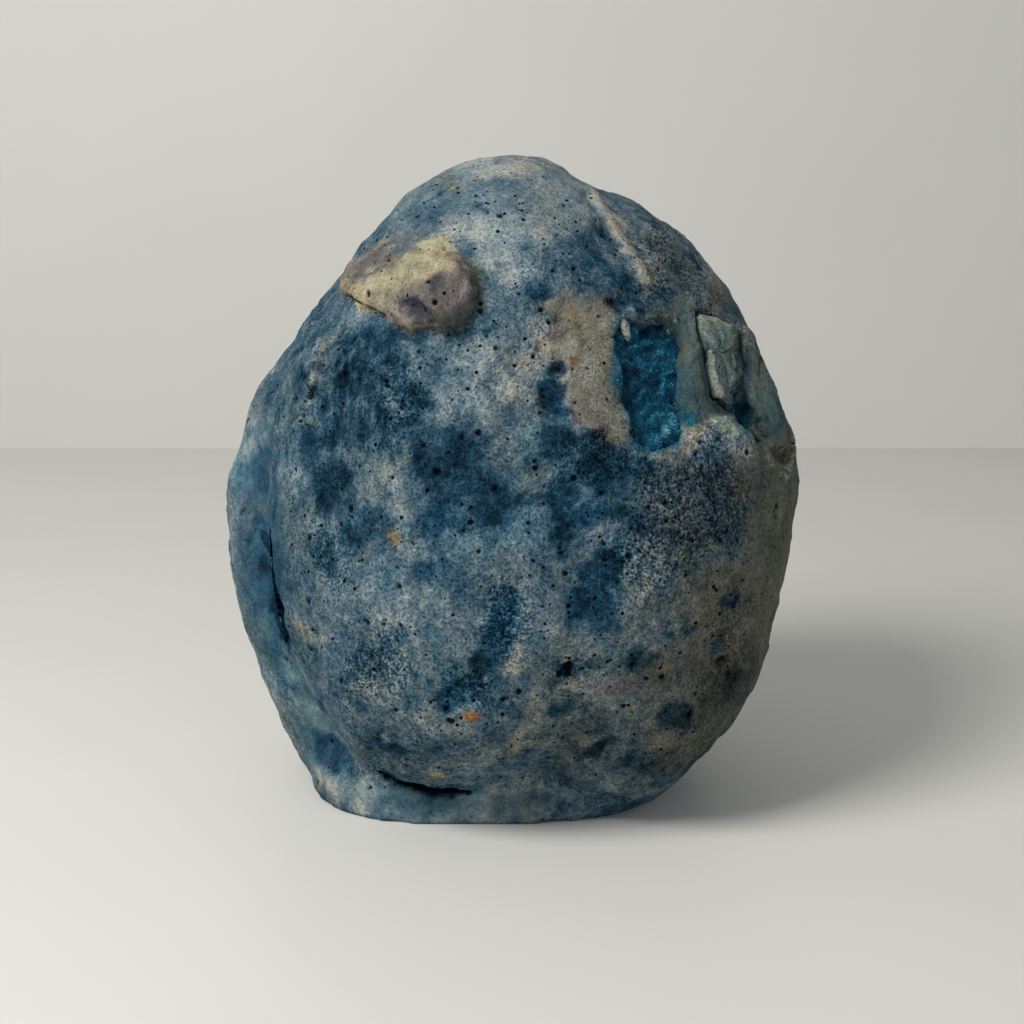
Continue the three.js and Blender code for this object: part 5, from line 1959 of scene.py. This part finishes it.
NUBS = (
    Nub(18.7, 82.3, (0.7, 0.8, 1.7), 12, 0.0, Dye.CREAM, -0.1),
    Nub(19.6, 84.2, (1.0, 0.8, 0.6), 10, 0.0, Dye.SLATE),
    Nub(22.8, 84.3, (1.2, 1.1, 0.8), 15, 0.1, Dye.SLATE, -0.2),
    Nub(24.3, 83.7, (0.9, 0.9, 0.8), -10, 0.1, Dye.MOSS_AND_SHADE, -0.2),
    Nub(25.4, 83.0, (0.8, 0.9, 1.0), 20, 0.1, Dye.SLATE, -0.05),
    Nub(25.7, 81.6, (0.5, 0.6, 0.9), 0, 0.0, Dye.CREAM, -0.2),
    Nub(42.2, 65.0, (1.2, 0.8, 1.15), 0, 0.0, Dye.SLATE, 0.05),
)


@dataclass(frozen=True)
class SmallKnobs:
    """The little knobs over the pocket and in the fracture."""

    knobs: tuple[Nub, ...] = NUBS
    rounds: int = 4
    seat: float = 0.9

    def ball(self, nub: Nub, skin: Skin, out: Array) -> Skin:
        """Makes one lumpy ball, set into the skin at the knob's place.

        Args:
            nub: The knob.
            skin: The stone's skin.
            out: The skin's outward directions.

        Returns:
            The ball's skin.
        """
        shell = bmesh.new()
        bmesh.ops.create_icosphere(shell, subdivisions=self.rounds, radius=1.0)
        mesh = bpy.data.meshes.new("ball")
        shell.to_mesh(mesh)
        shell.free()
        ball = Skin.of_mesh(mesh)
        points = ball.points * MM
        flat = np.hypot(skin.points[:, 0] - nub.x, skin.points[:, 2] - nub.z)
        near = np.nonzero((flat < self.seat) & (out[:, 1] < 0.3))[0]
        seat = near[np.argmin(skin.points[near, 1])]
        x, y, z = (points * np.array(nub.size)).T
        cos, sin = math.cos(math.radians(nub.turn)), math.sin(math.radians(nub.turn))
        turned = np.stack([x * cos - z * sin, y, z * cos + x * sin], axis=1)
        middle = np.array([nub.x, skin.points[seat, 1] - nub.lift, nub.z])
        placed = turned + middle
        lumps = 0.4 * noise_at(placed, 1.2, 41) + 0.14 * noise_at(placed, 0.5, 42)
        return Skin(placed + points * lumps[:, None], ball.triangles)

    def build(self, skin: Skin) -> None:
        """Makes the knobs as one piece.

        Args:
            skin: The stone's skin.
        """
        out = skin.normals()
        balls = [self.ball(nub, skin, out) for nub in self.knobs]
        sizes = [len(ball.points) for ball in balls]
        starts = np.cumsum([0, *sizes[:-1]])
        triangles = np.vstack([ball.triangles + start for ball, start in zip(balls, starts)])
        mesh = Skin(np.vstack([ball.points for ball in balls]), triangles).to_mesh("small_knobs")
        for dye in {nub.dye for nub in self.knobs}:
            store(mesh, dye.value, np.repeat([float(nub.dye is dye) for nub in self.knobs], sizes))
        store(mesh, "tone", np.repeat([nub.tone for nub in self.knobs], sizes))
        mesh.materials.append(RindFinish().material())
        piece = placed("small_knobs", mesh)
        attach(piece, BODY)
        log.info("small_knobs: %d triangles", len(triangles))


# ---- Studio --------------------------------------------------------------------------------------


@dataclass
class Studio:
    """A pale floor and backdrop, soft light from the upper left, and the camera."""

    lens: float = 60.0
    elevation: float = 12.0
    distance: float = 301.0
    target: tuple[float, float, float] = (0.71, 0.98, 47.5)
    # The wall stands outside the circle in which a camera goes round the stone.
    wall_y: float = 340.0
    reach: float = 2000.0
    pale: Colour = (0.78, 0.77, 0.73)
    sky: Colour = (0.9, 0.95, 1.0)
    sky_strength: float = 0.27

    def plane(self, name: str, corners: Sequence[Sequence[float]]) -> None:
        """Makes one flat piece of the studio.

        Args:
            name: Its name.
            corners: Its corners, in order, in millimetres.
        """
        mesh = bpy.data.meshes.new(name)
        mesh.from_pydata([Vector(c) * MM for c in corners], [], [tuple(range(len(corners)))])
        sheet = Sheet(name)
        tone = sheet.noise(60, 3, 0.5)
        tint = sheet.mix(tone, self.pale, tuple(0.93 * part for part in self.pale))
        normal = sheet.bump(tone, 0.01, 0.1)
        mesh.materials.append(sheet.finish(tint, 0.45 + 0.1 * tone, normal, {}))
        placed(name, mesh)

    def light(
        self, name: str, place: Sequence[float], size: float, power: float, tint: Colour
    ) -> None:
        """Makes a round area light that faces the stone.

        Args:
            name: Its name.
            place: Where it stands, in millimetres.
            size: Its width, in millimetres.
            power: Its power, in watts.
            tint: Its colour.
        """
        data = bpy.data.lights.new(name, "AREA")
        data.shape, data.size, data.energy, data.color = "DISK", size * MM, power, tint
        lamp = placed(name, data)
        lamp.location = Vector(place) * MM
        aim = Vector(self.target) * MM - lamp.location
        lamp.rotation_euler = aim.to_track_quat("-Z", "Y").to_euler()

    def camera(self) -> None:
        """Makes the camera."""
        data = bpy.data.cameras.new("camera")
        data.lens, data.sensor_width = self.lens, 36.0
        data.clip_start, data.clip_end = 0.01, 10.0
        tilt = math.radians(self.elevation)
        back = Vector((0.0, -math.cos(tilt), math.sin(tilt)))
        view = placed("camera", data)
        view.location = (Vector(self.target) + back * self.distance) * MM
        view.rotation_euler = (-back).to_track_quat("-Z", "Y").to_euler()
        bpy.context.scene.camera = view

    def build(self) -> None:
        """Makes everything round the stone."""
        far, y = self.reach, self.wall_y
        self.plane("floor", [(-far, -far, 0), (far, -far, 0), (far, y, 0), (-far, y, 0)])
        self.plane("backdrop", [(-far, y, 0), (far, y, 0), (far, y, far), (-far, y, far)])
        self.light("key", (-300, -260, 420), 260, 2.8, (1.0, 0.98, 0.94))
        self.light("fill", (360, -420, 200), 500, 0.4, (0.95, 0.97, 1.0))
        world = bpy.data.worlds.new("studio")
        world.use_nodes = True
        background = world.node_tree.nodes["Background"]
        background.inputs["Color"].default_value = (*self.sky, 1.0)
        background.inputs["Strength"].default_value = self.sky_strength
        bpy.context.scene.world = world
        bpy.context.scene.view_settings.view_transform = "Standard"
        self.camera()


def corners(bounds: tuple[Vector, Vector]) -> list[list[float]]:
    """A box as plain lists."""
    return [list(corner) for corner in bounds]


def main() -> None:
    """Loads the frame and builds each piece."""
    logging.basicConfig(level=logging.INFO, format="%(name)s %(message)s")
    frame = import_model()
    nodule = Nodule()
    nodule.build(frame)
    PocketDruse().build(frame, nodule.skin)
    TanDruse().build(nodule.skin)
    SmallKnobs().build(nodule.skin)
    Studio().build()


if __name__ == "__main__":
    main()
